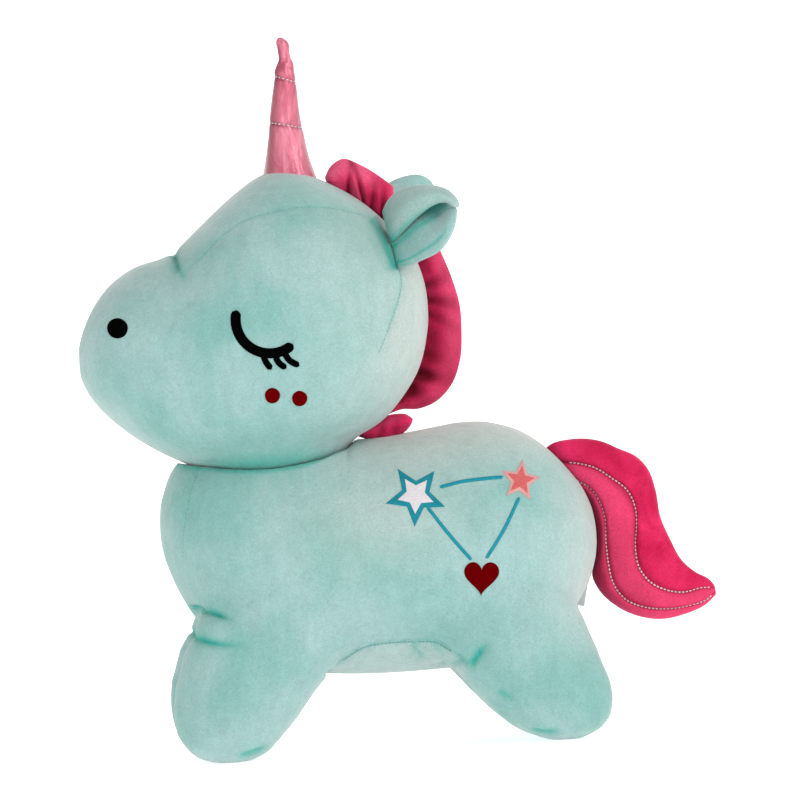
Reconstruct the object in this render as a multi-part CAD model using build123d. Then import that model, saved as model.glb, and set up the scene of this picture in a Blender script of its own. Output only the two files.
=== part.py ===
from build123d import *
import os
from math import asin, cos, radians, sin, sqrt

# Plush unicorn, standing on four feet and facing -X. Its left side faces -Y. Millimetres, +Z up.

# Overall sizes
head_length = 209.7
head_height = 175.0
head_width = 156.0
head_front_x = -186.7
head_fullness = 2.7
head_sink = 16.0  # how far the head's underside sits below the top of the torso
torso_length = 260.0
torso_height = 146.0
torso_width = 136.0
torso_front_x = -145.0
belly_height = 46.0
leg_length = 96.0
leg_width = 61.0
leg_spread = 37.0
front_leg_x = -104.0
rear_leg_x = 72.0
horn_height = 84.0
horn_base_radius = 16.0
tail_length = 99.0

# Landmarks that other pieces are placed from
torso_top_z = belly_height + torso_height
torso_rear_x = torso_front_x + torso_length
head_base_z = torso_top_z - head_sink
head_top_z = head_base_z + head_height
head_back_x = head_front_x + head_length

# Cloth and clearances
fabric = 1.5
seam_gap = 0.2
moving_gap = 0.5
embroidery = 0.8
thread = 1.0

# Panel seams
torso_gusset = 40.0
chest_gusset = 37.5
head_gusset = 42.0
gusset_front_x = head_front_x + 60.7
chest_seam_z = belly_height + 44.0
rear_seam_z = belly_height + 32.0

# Neck seat: the head turns and nods about neck_centre in a round dish in the torso
neck_radius = 87.0
neck_seat_radius = 46.0
neck_collar_radius = 66.0
neck_rim_relief = 6.0
neck_lip = 2.0
neck_drop = 13.0  # how far the round plug hangs below the head
neck_lip_height = 12.0
neck_centre = (-78.0, 0, head_base_z - neck_drop + neck_radius)
neck_loop_radius = 34.0
head_nod = (-6, 3)

# Horn seat
horn_x = -54.0
horn_ball_radius = 20.0
horn_sink = 4.0  # its foot below the top of the head
horn_lift = 12.0  # its pivot above its foot
horn_ply = 1.05
horn_bands = [(0.36, 12), (0.71, 15)]  # share of its height, and slope in degrees

# Ears: the seam of the left one runs from ear_seam_top to ear_seam_foot
ear_seam_top = Vector(head_back_x - 26, -18, head_top_z - 32)
ear_seam_foot = Vector(head_back_x - 17, -39, head_top_z - 64)
ear_out = Vector(0.86, -0.38, 0.33)
ear_reach = 46.0
ear_seam_tuck = 2.0
ear_ply = 2.4
ear_bowl_sink = 8.0
ear_half_height = 24.0
ear_bowl_radius = 36.0
ear_flop = (-25, 25)
right_ear_perk = 8.0

# Mane: outlines as offsets from the head's top and back, and the curl's from the torso's top
mane_thickness = 14.0
curl_width = 18.0
forelock_edge = [(-56, -8), (-53, -0.5), (-45, 5), (-33, 0.5), (-18, -11.5)]
forelock_root = (-27, -51)
ruffle_edge = [
    (-17, -12.5), (-1, -27), (10, -52), (19, -81), (19.5, -102), (14, -130), (4, -141.5), (-17, -143),
]
ruffle_root = [(-48, -101), (-26, -51)]
curl_edge = [(-30, -6), (-12, 4), (2, 7), (11, 3), (6, -3), (-10, -12)]

# Tail: sewn to the rump from tail_seam_top to tail_seam_foot
tail_seam_top = Vector(torso_rear_x - 27, 0, torso_top_z - 19)
tail_seam_foot = Vector(torso_rear_x - 9, 0, torso_top_z - 39)
tail_swing = (-30, 30)
tail_thickness = 26.0
tail_lens_radius = 300.0
channel_gap = 1.2
# Its outline and topstitched lines, as offsets from the top of its seam for a tail 99 mm long
tail_shape_length = 99.0
tail_shape = [
    (2, 2.5), (16, 5), (35, 3), (54, -7), (65, -27), (70, -52), (80, -73), (94, -84.5),
    (98.7, -91.5), (91, -99.5), (73, -106.5), (52, -105), (36, -97), (27, -84),
    (30, -64), (29, -44), (23, -27), (16, -17), (4, -6),
]
tail_seams = [
    [(11, -9), (29, -13), (44, -25), (52, -42), (51, -62), (54, -79), (66, -89), (92, -88)],
    [(19, -21), (31, -36), (33, -60), (36, -84), (48, -96), (68, -101), (90, -95)],
]
tail_middle = (52, -53)

# Label in the rear seam
label_height = 14.0
label_reach = 7.0
label_thickness = 1.0
label_lean = 16.0
label_flap = (-40, 40)

# Embroidery on the cheeks, as offsets from the head's front and base
lid_centre = (114.7, 86.0)
lid_radius = 20.3
lid_arc = (166, 143)  # where it starts, and its sweep
lid_stroke = 5.4
lashes = [((110.7, 65), (113.7, 57)), ((116.7, 65), (121.7, 57)), ((122.7, 66), (129.7, 58))]
lash_stroke = 2.8
nostril_centre = (23.3, 87.6)
nostril_radius = 6.0
dot_centres = [(113.6, 41.3), (130.1, 38.4)]
dot_radius = 4.5

# Embroidery on the left flank, as places (X, and height above the belly) and sizes
white_star_centre = (8, 105)
white_star_radius = 13.6
star_edge_radii = (14.0, 19.0)
white_star_turn = 47
pink_star_centre = (73, 110)
pink_star_radius = 10.5
pink_star_turn = 77
heart_centre = (45, 55)
heart_width = 21.0
heart_turn = 10
links = [((26, 109.5), (61, 113)), ((17, 94), (39, 66)), ((71, 98), (50, 66))]
link_stroke = 1.5

# Each head section: share along the length, then of the height for its top and bottom, and of the width
head_sections = [
    (0.000, 0.420, 0.350, 0.10), (0.012, 0.478, 0.300, 0.26), (0.045, 0.560, 0.235, 0.46),
    (0.100, 0.640, 0.165, 0.62), (0.180, 0.700, 0.090, 0.75), (0.285, 0.735, 0.022, 0.86),
    (0.370, 0.825, 0.003, 0.93), (0.460, 0.915, 0.000, 0.98), (0.560, 0.990, 0.006, 1.00),
    (0.655, 0.985, 0.028, 0.99), (0.750, 0.935, 0.065, 0.92), (0.845, 0.855, 0.120, 0.79),
    (0.920, 0.760, 0.215, 0.61), (0.968, 0.680, 0.310, 0.41), (0.992, 0.600, 0.405, 0.20),
    (1.000, 0.540, 0.455, 0.08),
]
torso_sections = [
    (0.000, 0.700, 0.600, 0.10), (0.010, 0.774, 0.507, 0.26), (0.030, 0.863, 0.404, 0.44),
    (0.060, 0.925, 0.300, 0.60), (0.120, 0.960, 0.178, 0.78), (0.220, 0.973, 0.062, 0.93),
    (0.360, 0.966, 0.014, 1.00), (0.500, 0.955, 0.000, 1.00), (0.620, 0.980, 0.003, 1.00),
    (0.740, 1.000, 0.014, 0.97), (0.830, 0.962, 0.068, 0.89), (0.900, 0.870, 0.150, 0.76),
    (0.950, 0.767, 0.240, 0.60), (0.980, 0.685, 0.330, 0.42), (0.995, 0.603, 0.418, 0.22),
    (1.000, 0.555, 0.459, 0.09),
]
# Each leg section: height as a share of the belly's, then shares of leg_length for its offset and
# its half length, and of leg_width for its half width
front_leg_sections = [
    (0.00, -0.073, 0.135, 0.18), (0.03, -0.083, 0.198, 0.28), (0.09, -0.089, 0.234, 0.33),
    (0.20, -0.094, 0.281, 0.39), (0.35, -0.078, 0.339, 0.44), (0.61, -0.038, 0.409, 0.475),
    (0.87, 0.010, 0.448, 0.49), (1.13, 0.083, 0.490, 0.50), (1.52, 0.161, 0.500, 0.49),
    (2.07, 0.220, 0.420, 0.40), (2.50, 0.250, 0.300, 0.25),
]
rear_leg_sections = [
    (0.00, 0.146, 0.125, 0.17), (0.03, 0.156, 0.167, 0.25), (0.09, 0.151, 0.224, 0.32),
    (0.20, 0.133, 0.300, 0.39), (0.35, 0.109, 0.359, 0.44), (0.61, 0.057, 0.422, 0.475),
    (0.87, -0.016, 0.453, 0.49), (1.13, -0.083, 0.479, 0.50), (1.52, -0.140, 0.464, 0.49),
    (2.07, -0.170, 0.380, 0.40), (2.50, -0.200, 0.260, 0.25),
]

left_view = Plane.XZ  # local x is X, local y is Z, and a positive extrusion goes to the left side
far = 400.0
smallest_piece = 1.0  # in cubic millimetres: crumbs left by the cuts are smaller


def ring_wire(x, z, half_width, half_height, fullness):
    """A closed section across X: an ellipse above, squarer below where fullness is over 2."""
    if fullness == 2:
        across = Plane(origin=(x, 0, z), x_dir=(0, 1, 0), z_dir=(1, 0, 0))
        return (across * Ellipse(half_width, half_height)).wire()
    count = 28
    points = []
    for step in range(count):
        angle = radians(360 * step / count)
        across, up = cos(angle), sin(angle)
        reach = 1.0
        if up < 0:
            reach = (abs(across) ** fullness + abs(up) ** fullness) ** (-1 / fullness)
        points.append((x, across * reach * half_width, z + up * reach * half_height))
    shares = [step / count for step in range(count + 1)]
    return Wire([Edge.make_spline(points, periodic=True, parameters=shares)])


def body_loft(sections, front, base, length, height, width, inset, fullness=2):
    """A round body along X through its sections, with its surface moved in by inset."""
    rings = []
    for share, top, bottom, breadth in sections:
        x = front + share * length
        if share == 0:
            x += inset
        if share == 1:
            x -= inset
        middle = base + (top + bottom) / 2 * height
        size = (breadth * width / 2 - inset, (top - bottom) / 2 * height - inset)
        rings.append(ring_wire(x, middle, *size, fullness))
    return Solid.make_loft(rings)


def leg_loft(sections, x, y, inset):
    """A leg along Z, flat under the foot, with its surface moved in by inset."""
    rings = []
    for height, offset, half_length, half_width in sections:
        z = height * belly_height
        if height == 0:
            z += inset
        ring = Plane(origin=(x + offset * leg_length, y, z))
        size = (half_length * leg_length - inset, half_width * leg_width - inset)
        rings.append((ring * Ellipse(*size)).wire())
    return Solid.make_loft(rings)


def neck_plug(growth):
    """The round underside of the head inside the neck seam, rising into the cheeks."""
    radius = neck_radius + growth
    seat = neck_seat_radius
    cx, cy, cz = neck_centre
    edge = cz - sqrt(radius**2 - seat**2)
    half_angle = asin(seat / radius) / 2
    middle = (radius * sin(half_angle), cz - radius * cos(half_angle))
    cheek = neck_collar_radius + growth
    top = cz - neck_lip_height
    arc = ThreePointArc((0, cz - radius), middle, (seat, edge))
    lip = Spline((seat, edge), (cheek, top - neck_lip_height), tangents=(arc % 1, (0.3, 1)))
    rest = Polyline((cheek, top - neck_lip_height), (cheek, top), (0, top), (0, cz - radius))
    profile = make_face([arc.edge(), lip.edge(), *rest.edges()])
    return Pos(cx, cy, 0) * revolve(Plane.XZ * profile, Axis.Z, 360)


def neck_dish():
    """What is cut from the torso: the plug with its gap, and a relief round the rim for the nod."""
    radius = neck_radius + moving_gap
    seat = neck_seat_radius - neck_lip
    rim = neck_collar_radius
    outside = rim + 40  # past the torso all round
    cx, cy, cz = neck_centre
    edge = cz - sqrt(radius**2 - seat**2)
    brim = cz - sqrt((radius + neck_rim_relief) ** 2 - rim**2)
    half_angle = asin(seat / radius) / 2
    middle = (radius * sin(half_angle), cz - radius * cos(half_angle))
    arc = ThreePointArc((0, cz - radius), middle, (seat, edge))
    above = cz + far
    slope = [(seat, edge), (rim, brim), (outside, brim + 32)]
    rest = Polyline(*slope, (outside, above), (0, above), (0, cz - radius))
    profile = make_face([arc.edge(), *rest.edges()])
    return Pos(cx, cy, 0) * revolve(Plane.XZ * profile, Axis.Z, 360)


def barrel_form(inset):
    size = (torso_front_x, belly_height, torso_length, torso_height, torso_width)
    return body_loft(torso_sections, *size, inset)


def torso_form(inset):
    form = barrel_form(inset)
    for side in (-1, 1):
        form += leg_loft(front_leg_sections, front_leg_x, side * leg_spread, inset)
        form += leg_loft(rear_leg_sections, rear_leg_x, side * leg_spread, inset)
    return form


def head_form(inset):
    size = (head_front_x, head_base_z, head_length, head_height, head_width)
    return body_loft(head_sections, *size, inset, head_fullness) + neck_plug(-inset)


def left_prism(sketch, depth=far):
    """A sketch drawn as seen from the left, run out to the left from the middle plane."""
    return extrude(left_view * sketch, depth)


def both_sides(sketch, depth):
    return extrude(left_view * sketch, depth, both=True)


def half_space(side):
    """Everything on the left of the middle plane (side -1) or on its right (side 1)."""
    return Pos(0, side * far, 0) * Box(2 * far, 2 * far, 2 * far)


def shifted(points, x, z):
    return [(x + px, z + pz) for px, pz in points]


def clear_over_travel(piece, obstacle, axis, angles):
    """Takes from piece what obstacle would meet while piece turns about axis."""
    for angle in angles:
        piece = piece - obstacle.rotate(axis, -angle)
    return piece


def stroke(start, end, width):
    """A straight embroidered stroke with round ends."""
    a, b = Vector(*start), Vector(*end)
    middle = (a + b) / 2
    turn = Vector(1, 0).get_signed_angle(b - a, Vector(0, 0, 1))
    return Pos(middle.X, middle.Y) * Rot(0, 0, turn) * SlotCenterToCenter((b - a).length, width)


def star(radius, notch, tip_angle):
    """A five-pointed star, notch being the inner radius as a share of the outer one."""
    points = []
    for step in range(10):
        reach = radius if step % 2 == 0 else radius * notch
        angle = radians(tip_angle + 36 * step)
        points.append((reach * cos(angle), reach * sin(angle)))
    return Polygon(*points, align=None)


def heart(width):
    lobe = width * 0.27
    shape = Pos(-lobe * 0.85, lobe * 0.6) * Circle(lobe) + Pos(lobe * 0.85, lobe * 0.6) * Circle(lobe)
    corner = (lobe * 1.62, lobe * -0.04)
    tip = (0, -width * 0.48)
    return shape + Polygon((-corner[0], corner[1]), tip, corner, (0, lobe * 1.1), align=None)


def build_torso():
    outer = torso_form(0)
    lining = torso_form(fabric)
    dish = neck_dish()
    skin = outer - lining - dish
    belly_front = Pos(-far / 2, 0, chest_seam_z - far / 2) * Box(far, 2 * torso_gusset, far)
    belly_rear = Pos(far / 2, 0, rear_seam_z - far / 2) * Box(far, 2 * torso_gusset, far)
    belly = belly_front + belly_rear
    chest_box = Box(far, 2 * chest_gusset, far)
    chest = Pos(-far / 2 + torso_front_x + torso_length / 3, 0, chest_seam_z + far / 2) * chest_box
    flanks = skin - belly - chest
    loop = Pos(neck_centre[0], 0, neck_loop_z()) * Torus(neck_loop_radius, thread / 2 + moving_gap)
    stuffing = torso_form(fabric + seam_gap) - dish - loop
    return {
        "torso_left_panel": flanks & half_space(-1),
        "torso_right_panel": flanks & half_space(1),
        "chest_panel": skin & chest,
        "belly_panel": skin & belly,
        "torso_stuffing": stuffing,
    }


def neck_loop_z():
    """The neck thread lies in the dish, half sunk in the stuffing below it."""
    reach = neck_radius + moving_gap + thread / 2 + seam_gap
    return neck_centre[2] - sqrt(reach**2 - neck_loop_radius**2)


def build_neck():
    return {"neck_thread": Pos(neck_centre[0], 0, neck_loop_z()) * Torus(neck_loop_radius, thread / 2)}


def horn_pivot():
    return Vector(horn_x, 0, head_top_z - horn_sink + horn_lift)


def build_head():
    outer = head_form(0)
    lining = head_form(fabric)
    opening = Pos(*neck_centre) * Sphere(neck_radius + fabric)
    opening = opening & Pos(neck_centre[0], 0, 0) * Cylinder(neck_seat_radius, far)
    seat = Pos(*horn_pivot()) * Sphere(horn_ball_radius + moving_gap)
    skin = outer - lining - opening - seat
    crown = Polygon(
        (gusset_front_x, 2 * far),
        (gusset_front_x, head_base_z + 109),
        (gusset_front_x + 26, head_base_z + 89),
        (head_back_x - 73, head_base_z + 54),
        (head_back_x - 63, 0),
        (far, 0),
        (far, 2 * far),
        align=None,
    )
    gusset = both_sides(crown, head_gusset)
    sides = skin - gusset
    return {
        "head_left_panel": sides & half_space(-1),
        "head_right_panel": sides & half_space(1),
        "head_gusset": skin & gusset,
        "head_stuffing": head_form(fabric + seam_gap) - seat,
    }


def build_face():
    """Embroidery on both cheeks, standing embroidery proud of the cloth."""
    size = (head_front_x, head_base_z, head_length, head_height, head_width)
    outer = body_loft(head_sections, *size, -seam_gap / 2 - embroidery, head_fullness)
    inner = body_loft(head_sections, *size, -seam_gap / 2, head_fullness)
    corner = Pos(head_front_x, head_base_z)
    marks = {
        "eye": SlotArc(CenterArc(lid_centre, lid_radius, *lid_arc), lid_stroke)
        + [stroke(*lash, lash_stroke) for lash in lashes],
        "nostril": Pos(*nostril_centre) * Circle(nostril_radius),
        "cheek_dots": Sketch() + [Pos(*dot) * Circle(dot_radius) for dot in dot_centres],
    }
    nodes = {}
    for name, sketch in marks.items():
        left = (outer & left_prism(corner * sketch)) - inner
        nodes[f"left_{name}"] = left
        nodes[f"right_{name}"] = mirror(left, about=Plane.XZ)
    return nodes


def build_flank_embroidery():
    """The white star, pink star and heart on the left flank, joined by three stitched links."""
    layer = torso_form(-seam_gap / 2 - embroidery) - torso_form(-seam_gap / 2)
    notch = 0.5
    inside, outside = star_edge_radii
    middle = Pos(*white_star_centre)
    marks = {
        "white_star": middle * star(white_star_radius, notch, white_star_turn),
        "white_star_edge": middle * star(outside, notch + 0.02, white_star_turn)
        - middle * star(inside, notch, white_star_turn),
        "pink_star": Pos(*pink_star_centre) * star(pink_star_radius, notch, pink_star_turn),
        "red_heart": Pos(*heart_centre) * Rot(0, 0, heart_turn) * heart(heart_width),
        "star_links": Sketch() + [stroke(*link, link_stroke) for link in links],
    }
    nodes = {}
    for name, sketch in marks.items():
        nodes[name] = layer & left_prism(Pos(0, belly_height) * sketch)
    return nodes


def horn_profile(inset):
    """The horn's outline from its base up, turned about its axis: flared below, slim above."""
    shares = [(-0.06, 1.02), (0.0, 1.0), (0.15, 0.80), (0.33, 0.60), (0.62, 0.405), (0.86, 0.24)]
    base = horn_pivot().Z - horn_lift
    sides = [(share * horn_base_radius - inset, base + height * horn_height) for height, share in shares]
    top = base + horn_height - inset
    side = Spline(*sides, (0.13 * horn_base_radius, top))
    foot = sides[0]
    rest = Polyline((0.13 * horn_base_radius, top), (0, top), (0, foot[1]), foot)
    profile = make_face([side.edge(), *rest.edges()])
    cone = Pos(horn_x, 0, 0) * revolve(Plane.XZ * profile, Axis.Z, 360)
    above = Pos(*horn_pivot()) * (Pos(0, 0, far / 2) * Box(far, far, far) + Sphere(horn_ball_radius))
    return cone & above


def build_horn():
    outer = horn_profile(0)
    cover = outer - horn_profile(horn_ply)
    stuffing = horn_profile(horn_ply + seam_gap)
    pivot = horn_pivot()
    layer = horn_profile(-seam_gap / 2 - thread) - horn_profile(-seam_gap / 2)
    bands = None
    for share, tilt in horn_bands:
        height = pivot.Z - horn_lift + share * horn_height
        slab = Pos(horn_x, 0, height) * Rot(0, tilt, 0) * Box(far, far, thread)
        bands = slab if bands is None else bands + slab
    stitches = layer & bands
    return {"horn_cover": cover, "horn_stuffing": stuffing, "horn_stitches": stitches}


def ear_plane(side):
    """Middle of an ear: local x runs outward, local z faces the side that the ear opens to."""
    up = (ear_seam_top - ear_seam_foot).normalized()
    out = (ear_out - up * ear_out.dot(up)).normalized()
    middle = (ear_seam_top + ear_seam_foot) / 2 + out * (ear_reach / 2 - ear_seam_tuck)
    face = out.cross(up)
    if side > 0:
        middle, out, face = [Vector(v.X, -v.Y, v.Z) for v in (middle, out, face)]
    return Plane(origin=middle, x_dir=out, z_dir=face)


def ear_axis(side):
    top, foot = [Vector(v.X, side * -v.Y, v.Z) for v in (ear_seam_top, ear_seam_foot)]
    return Axis(foot, top - foot)


def build_ears(head):
    nodes = {}
    for side, name in ((-1, "left"), (1, "right")):
        plane = ear_plane(side)
        axis = ear_axis(side)
        outline = plane * Ellipse(ear_reach / 2, ear_half_height)
        prism = extrude(outline, 30, both=True)
        centre = plane.origin + plane.z_dir * (ear_bowl_radius - ear_bowl_sink)
        for layer, start in (("outer", 0.0), ("lining", ear_ply + seam_gap)):
            shell = Sphere(ear_bowl_radius - start) - Sphere(ear_bowl_radius - start - ear_ply)
            piece = (Pos(*centre) * shell) & prism
            piece = max(piece.solids(), key=lambda s: -(s.center() - plane.origin).length)
            perk = right_ear_perk if side > 0 else 0
            piece = piece.rotate(axis, perk)
            piece = clear_over_travel(piece, head, axis, (0, ear_flop[0], ear_flop[1]))
            nodes[f"{name}_ear_{layer}"] = piece
    return nodes


def build_mane(head, barrel):
    forelock = shifted(forelock_edge, head_back_x, head_top_z)
    root = shifted([forelock_root], head_back_x, head_top_z)
    inside = Polyline(forelock[-1], *root, forelock[0])
    forelock = make_face([Spline(*forelock).edge(), *inside.edges()])
    ruffle = shifted(ruffle_edge, head_back_x, head_top_z)
    root = shifted(ruffle_root, head_back_x, head_top_z)
    inside = Polyline(ruffle[-1], *root, ruffle[0])
    ruffle = make_face([Spline(*ruffle).edge(), *inside.edges()])
    curl = make_face([Spline(*shifted(curl_edge, 0, torso_top_z), periodic=True).edge()])
    half = mane_thickness / 2
    nod = Axis(neck_centre, (0, 1, 0))
    lock = both_sides(curl, curl_width / 2) - barrel - neck_dish()
    return {
        "mane_forelock": both_sides(forelock, half) - head,
        "mane_back_ruffle": both_sides(ruffle, half) - head,
        "mane_curl": clear_over_travel(lock, head, nod, (0, *head_nod)),
    }


def inset_loop(points, inset):
    """A closed loop of points moved inward by inset, each one square to the line past it."""
    moved = []
    count = len(points)
    for index, (x, z) in enumerate(points):
        before = points[index - 1]
        after = points[(index + 1) % count]
        along = (after[0] - before[0], after[1] - before[1])
        length = sqrt(along[0] ** 2 + along[1] ** 2)
        moved.append((x + inset * along[1] / length, z - inset * along[0] / length))
    return moved


def on_tail(points):
    """Tail points at their real size and place."""
    scale = tail_length / tail_shape_length
    return [(tail_seam_top.X + x * scale, tail_seam_top.Z + z * scale) for x, z in points]


def tail_outline(inset):
    """Crescent of the tail: its root and its hollow side lie along the rump."""
    return make_face([Spline(*inset_loop(on_tail(tail_shape), inset), periodic=True).edge()])


def tail_form(inset):
    half = tail_thickness / 2
    slab = both_sides(tail_outline(inset), half + 5)
    bulge = tail_lens_radius - inset
    [(x, z)] = on_tail([tail_middle])
    for side in (-1, 1):
        slab = slab & Pos(x, side * (tail_lens_radius - half), z) * Sphere(bulge)
    return slab


def build_tail(barrel):
    axis = Axis(tail_seam_foot, tail_seam_top - tail_seam_foot)
    outer = clear_over_travel(tail_form(0), barrel, axis, (0, *tail_swing))
    lining = tail_form(fabric)
    skin = outer - lining
    stuffing = tail_form(fabric + seam_gap) & outer
    layer = tail_form(-seam_gap / 2 - thread / 2) - tail_form(-seam_gap / 2)
    stitches = None
    for seam_points in tail_seams:
        line = Spline(*on_tail(seam_points))
        wall = both_sides(trace(line, channel_gap), tail_thickness)
        stuffing = stuffing - wall
        seam = layer & both_sides(trace(line, thread), tail_thickness)
        stitches = seam if stitches is None else stitches + seam
    return {
        "tail_left_panel": skin & half_space(-1),
        "tail_right_panel": skin & half_space(1),
        "tail_stuffing": stuffing,
        "tail_stitches": clear_over_travel(stitches, barrel, axis, tail_swing),
    }


def build_label(barrel):
    root = Vector(torso_rear_x - 13.5, 0, rear_seam_z + label_height / 2 - 2)
    plate = Box(label_reach * 2 + 4, label_thickness, label_height)
    axis = label_axis()
    plate = Pos(*root) * Rot(0, label_lean, 0) * plate
    plate = clear_over_travel(plate, barrel, axis, (0, *label_flap))
    return {"label": max(plate.solids(), key=lambda s: s.center().X)}


def label_axis():
    lean = radians(label_lean)
    return Axis((torso_rear_x - 10.5, 0, rear_seam_z + label_height / 2), (sin(lean), 0, cos(lean)))


def build_all():
    nodes = {}
    nodes.update(build_torso())
    nodes.update(build_flank_embroidery())
    nodes.update(build_neck())
    nodes.update(build_head())
    nodes.update(build_face())
    nodes.update(build_horn())
    head = head_form(-moving_gap)
    barrel = barrel_form(-moving_gap)
    nodes.update(build_ears(head))
    nodes.update(build_mane(head, barrel))
    nodes.update(build_tail(barrel))
    nodes.update(build_label(barrel))
    return nodes


os.makedirs("parts", exist_ok=True)
for node, shape in build_all().items():
    solids = [solid for solid in shape.solids() if solid.volume > smallest_piece]
    export_step(Compound(children=solids) if len(solids) > 1 else solids[0], f"parts/{node}.step")
    print(node, len(solids), round(sum(solid.volume for solid in solids)))
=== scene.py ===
import math
import bpy
import numpy as np
from mathutils import Matrix, Vector


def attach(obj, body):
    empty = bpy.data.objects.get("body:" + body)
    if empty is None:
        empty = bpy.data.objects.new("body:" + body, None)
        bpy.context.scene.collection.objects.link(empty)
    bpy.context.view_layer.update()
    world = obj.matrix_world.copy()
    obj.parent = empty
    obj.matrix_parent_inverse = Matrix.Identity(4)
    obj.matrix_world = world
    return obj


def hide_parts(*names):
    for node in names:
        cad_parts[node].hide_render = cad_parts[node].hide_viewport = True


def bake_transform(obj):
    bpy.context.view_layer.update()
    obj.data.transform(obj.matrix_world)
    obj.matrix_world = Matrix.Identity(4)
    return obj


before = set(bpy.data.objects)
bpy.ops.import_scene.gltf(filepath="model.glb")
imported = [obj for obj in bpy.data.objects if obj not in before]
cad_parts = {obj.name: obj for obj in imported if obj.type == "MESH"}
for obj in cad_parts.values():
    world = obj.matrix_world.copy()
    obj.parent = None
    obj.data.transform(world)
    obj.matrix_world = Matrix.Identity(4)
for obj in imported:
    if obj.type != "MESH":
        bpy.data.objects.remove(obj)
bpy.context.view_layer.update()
scene = bpy.context.scene
scene.view_settings.view_transform = "Standard"
mm = 0.001  # shapes are worked out in millimetres and written in metres
dropFrom = 500.0  # how far out a point starts before it is dropped onto a skin
sides = ((-1, "left"), (1, "right"))
openAir = 400.0  # stands for the underside's height where there is no head above
print("frame loaded", len(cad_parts), "CAD nodes")


# Meshes from arrays

def smoothstep(low, high, value):
    # 0 before low, 1 after high, and 3t^2 - 2t^3 in between
    t = np.clip((np.asarray(value, float) - low) / (high - low), 0, 1)
    return t * t * (3 - 2 * t)


def bell(gap, width):
    # 1 where the gap is nothing, falling away as exp(-(gap / width)^2)
    return np.exp(-((gap / width) ** 2))


def fullTurn(count):
    return np.linspace(0, 2 * np.pi, count, endpoint=False)


def cubicThrough(keys, values, at):
    # a smooth curve through values: on each span the cubic that has both ends' values and slopes
    keys, values = np.asarray(keys, float), np.asarray(values, float)
    slopes = np.gradient(values, keys, axis=0)
    i = np.clip(np.searchsorted(keys, at, side="right") - 1, 0, len(keys) - 2)
    span = keys[i + 1] - keys[i]
    t = (at - keys[i]) / span
    if values.ndim > 1:
        shape = (-1,) + (1,) * (values.ndim - 1)
        t, span = t.reshape(shape), span.reshape(shape)
    near = (2 * t**3 - 3 * t**2 + 1) * values[i] + (t**3 - 2 * t**2 + t) * span * slopes[i]
    return near + (3 * t**2 - 2 * t**3) * values[i + 1] + (t**3 - t**2) * span * slopes[i + 1]


def smoothLine(points, count):
    # count points spread evenly along a smooth line through the given ones
    points = np.asarray(points, float)
    steps = pathSteps(points)
    return cubicThrough(steps, points, np.linspace(0, steps[-1], count))


def nearLine(points, line):
    # how far each point is from a broken line, and the share of the line's length where it is nearest
    a, run = line[:-1], np.diff(line, axis=0)
    size = np.linalg.norm(run, axis=1)
    t = np.clip(((points[:, None] - a) * run).sum(-1) / size**2, 0, 1)
    gap = np.linalg.norm(points[:, None] - a - t[..., None] * run, axis=-1)
    best, rows = gap.argmin(1), np.arange(len(points))
    before = np.r_[0, np.cumsum(size)]
    return gap[rows, best], (before[best] + t[rows, best] * size[best]) / before[-1]


def unit(vectors):
    return vectors / np.maximum(np.linalg.norm(vectors, axis=-1, keepdims=True), 1e-9)


def cosSin(degrees):
    return math.cos(math.radians(degrees)), math.sin(math.radians(degrees))


def pathSteps(points):
    # how far along a line each of its points is
    return np.r_[0, np.cumsum(np.linalg.norm(np.diff(points, axis=0), axis=1))]


def upright(pairs):
    # X and Z pairs as points at Y = 0
    return np.insert(pairs, 1, 0.0, axis=-1)


def readPoints(obj):
    flat = np.zeros(len(obj.data.vertices) * 3, np.float32)
    obj.data.vertices.foreach_get("co", flat)
    return flat.reshape(-1, 3).astype(float) / mm


def writePoints(obj, points):
    obj.data.vertices.foreach_set("co", (points * mm).astype(np.float32).ravel())
    obj.data.update()


def readNormals(obj):
    flat = np.zeros(len(obj.data.vertices) * 3, np.float32)
    obj.data.vertex_normals.foreach_get("vector", flat)
    return flat.reshape(-1, 3).astype(float)


def mark(obj, name, values):
    # a number or a vector on every vertex, for the material to read
    kind, field = ("FLOAT", "value") if values.ndim == 1 else ("FLOAT_VECTOR", "vector")
    layer = obj.data.attributes.get(name) or obj.data.attributes.new(name, kind, "POINT")
    layer.data.foreach_set(field, values.astype(np.float32).ravel())


def makePiece(name, points, faces):
    mesh = bpy.data.meshes.new(name)
    mesh.from_pydata((np.asarray(points, float) * mm).tolist(), [], faces)
    obj = bpy.data.objects.new(name, mesh)
    scene.collection.objects.link(obj)
    if len(faces):
        # six times the signed volume is the sum of a . (b x c) over the triangles
        mesh.calc_loop_triangles()
        corners = np.zeros(len(mesh.loop_triangles) * 3, np.int32)
        mesh.loop_triangles.foreach_get("vertices", corners)
        a, b, c = np.asarray(points, float)[corners.reshape(-1, 3).T]
        if (a * np.cross(b, c)).sum() < 0:
            mesh.flip_normals()
        mesh.shade_smooth()
    return obj


def tubeFaces(rows, cols, first=0):
    # a tube of rings closed round each ring, with a fan to one more point at each end
    ids = first + np.arange(rows * cols).reshape(rows, cols)
    side = np.roll(ids, -1, axis=1)
    quads = np.stack([ids[:-1], side[:-1], side[1:], ids[1:]], -1).reshape(-1, 4)
    start, end = first + rows * cols, first + rows * cols + 1
    head = np.stack([np.full(cols, start), side[0], ids[0]], -1)
    tail = np.stack([np.full(cols, end), ids[-1], side[-1]], -1)
    return [*quads.tolist(), *head.tolist(), *tail.tolist()]


def sheetFaces(rows, cols):
    ids = np.arange(rows * cols).reshape(rows, cols)
    return np.stack([ids[:-1, :-1], ids[1:, :-1], ids[1:, 1:], ids[:-1, 1:]], -1).reshape(-1, 4).tolist()


def tubePoints(rings):
    return np.concatenate([rings.reshape(-1, rings.shape[-1]), rings[:1].mean(1), rings[-1:].mean(1)])


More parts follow.
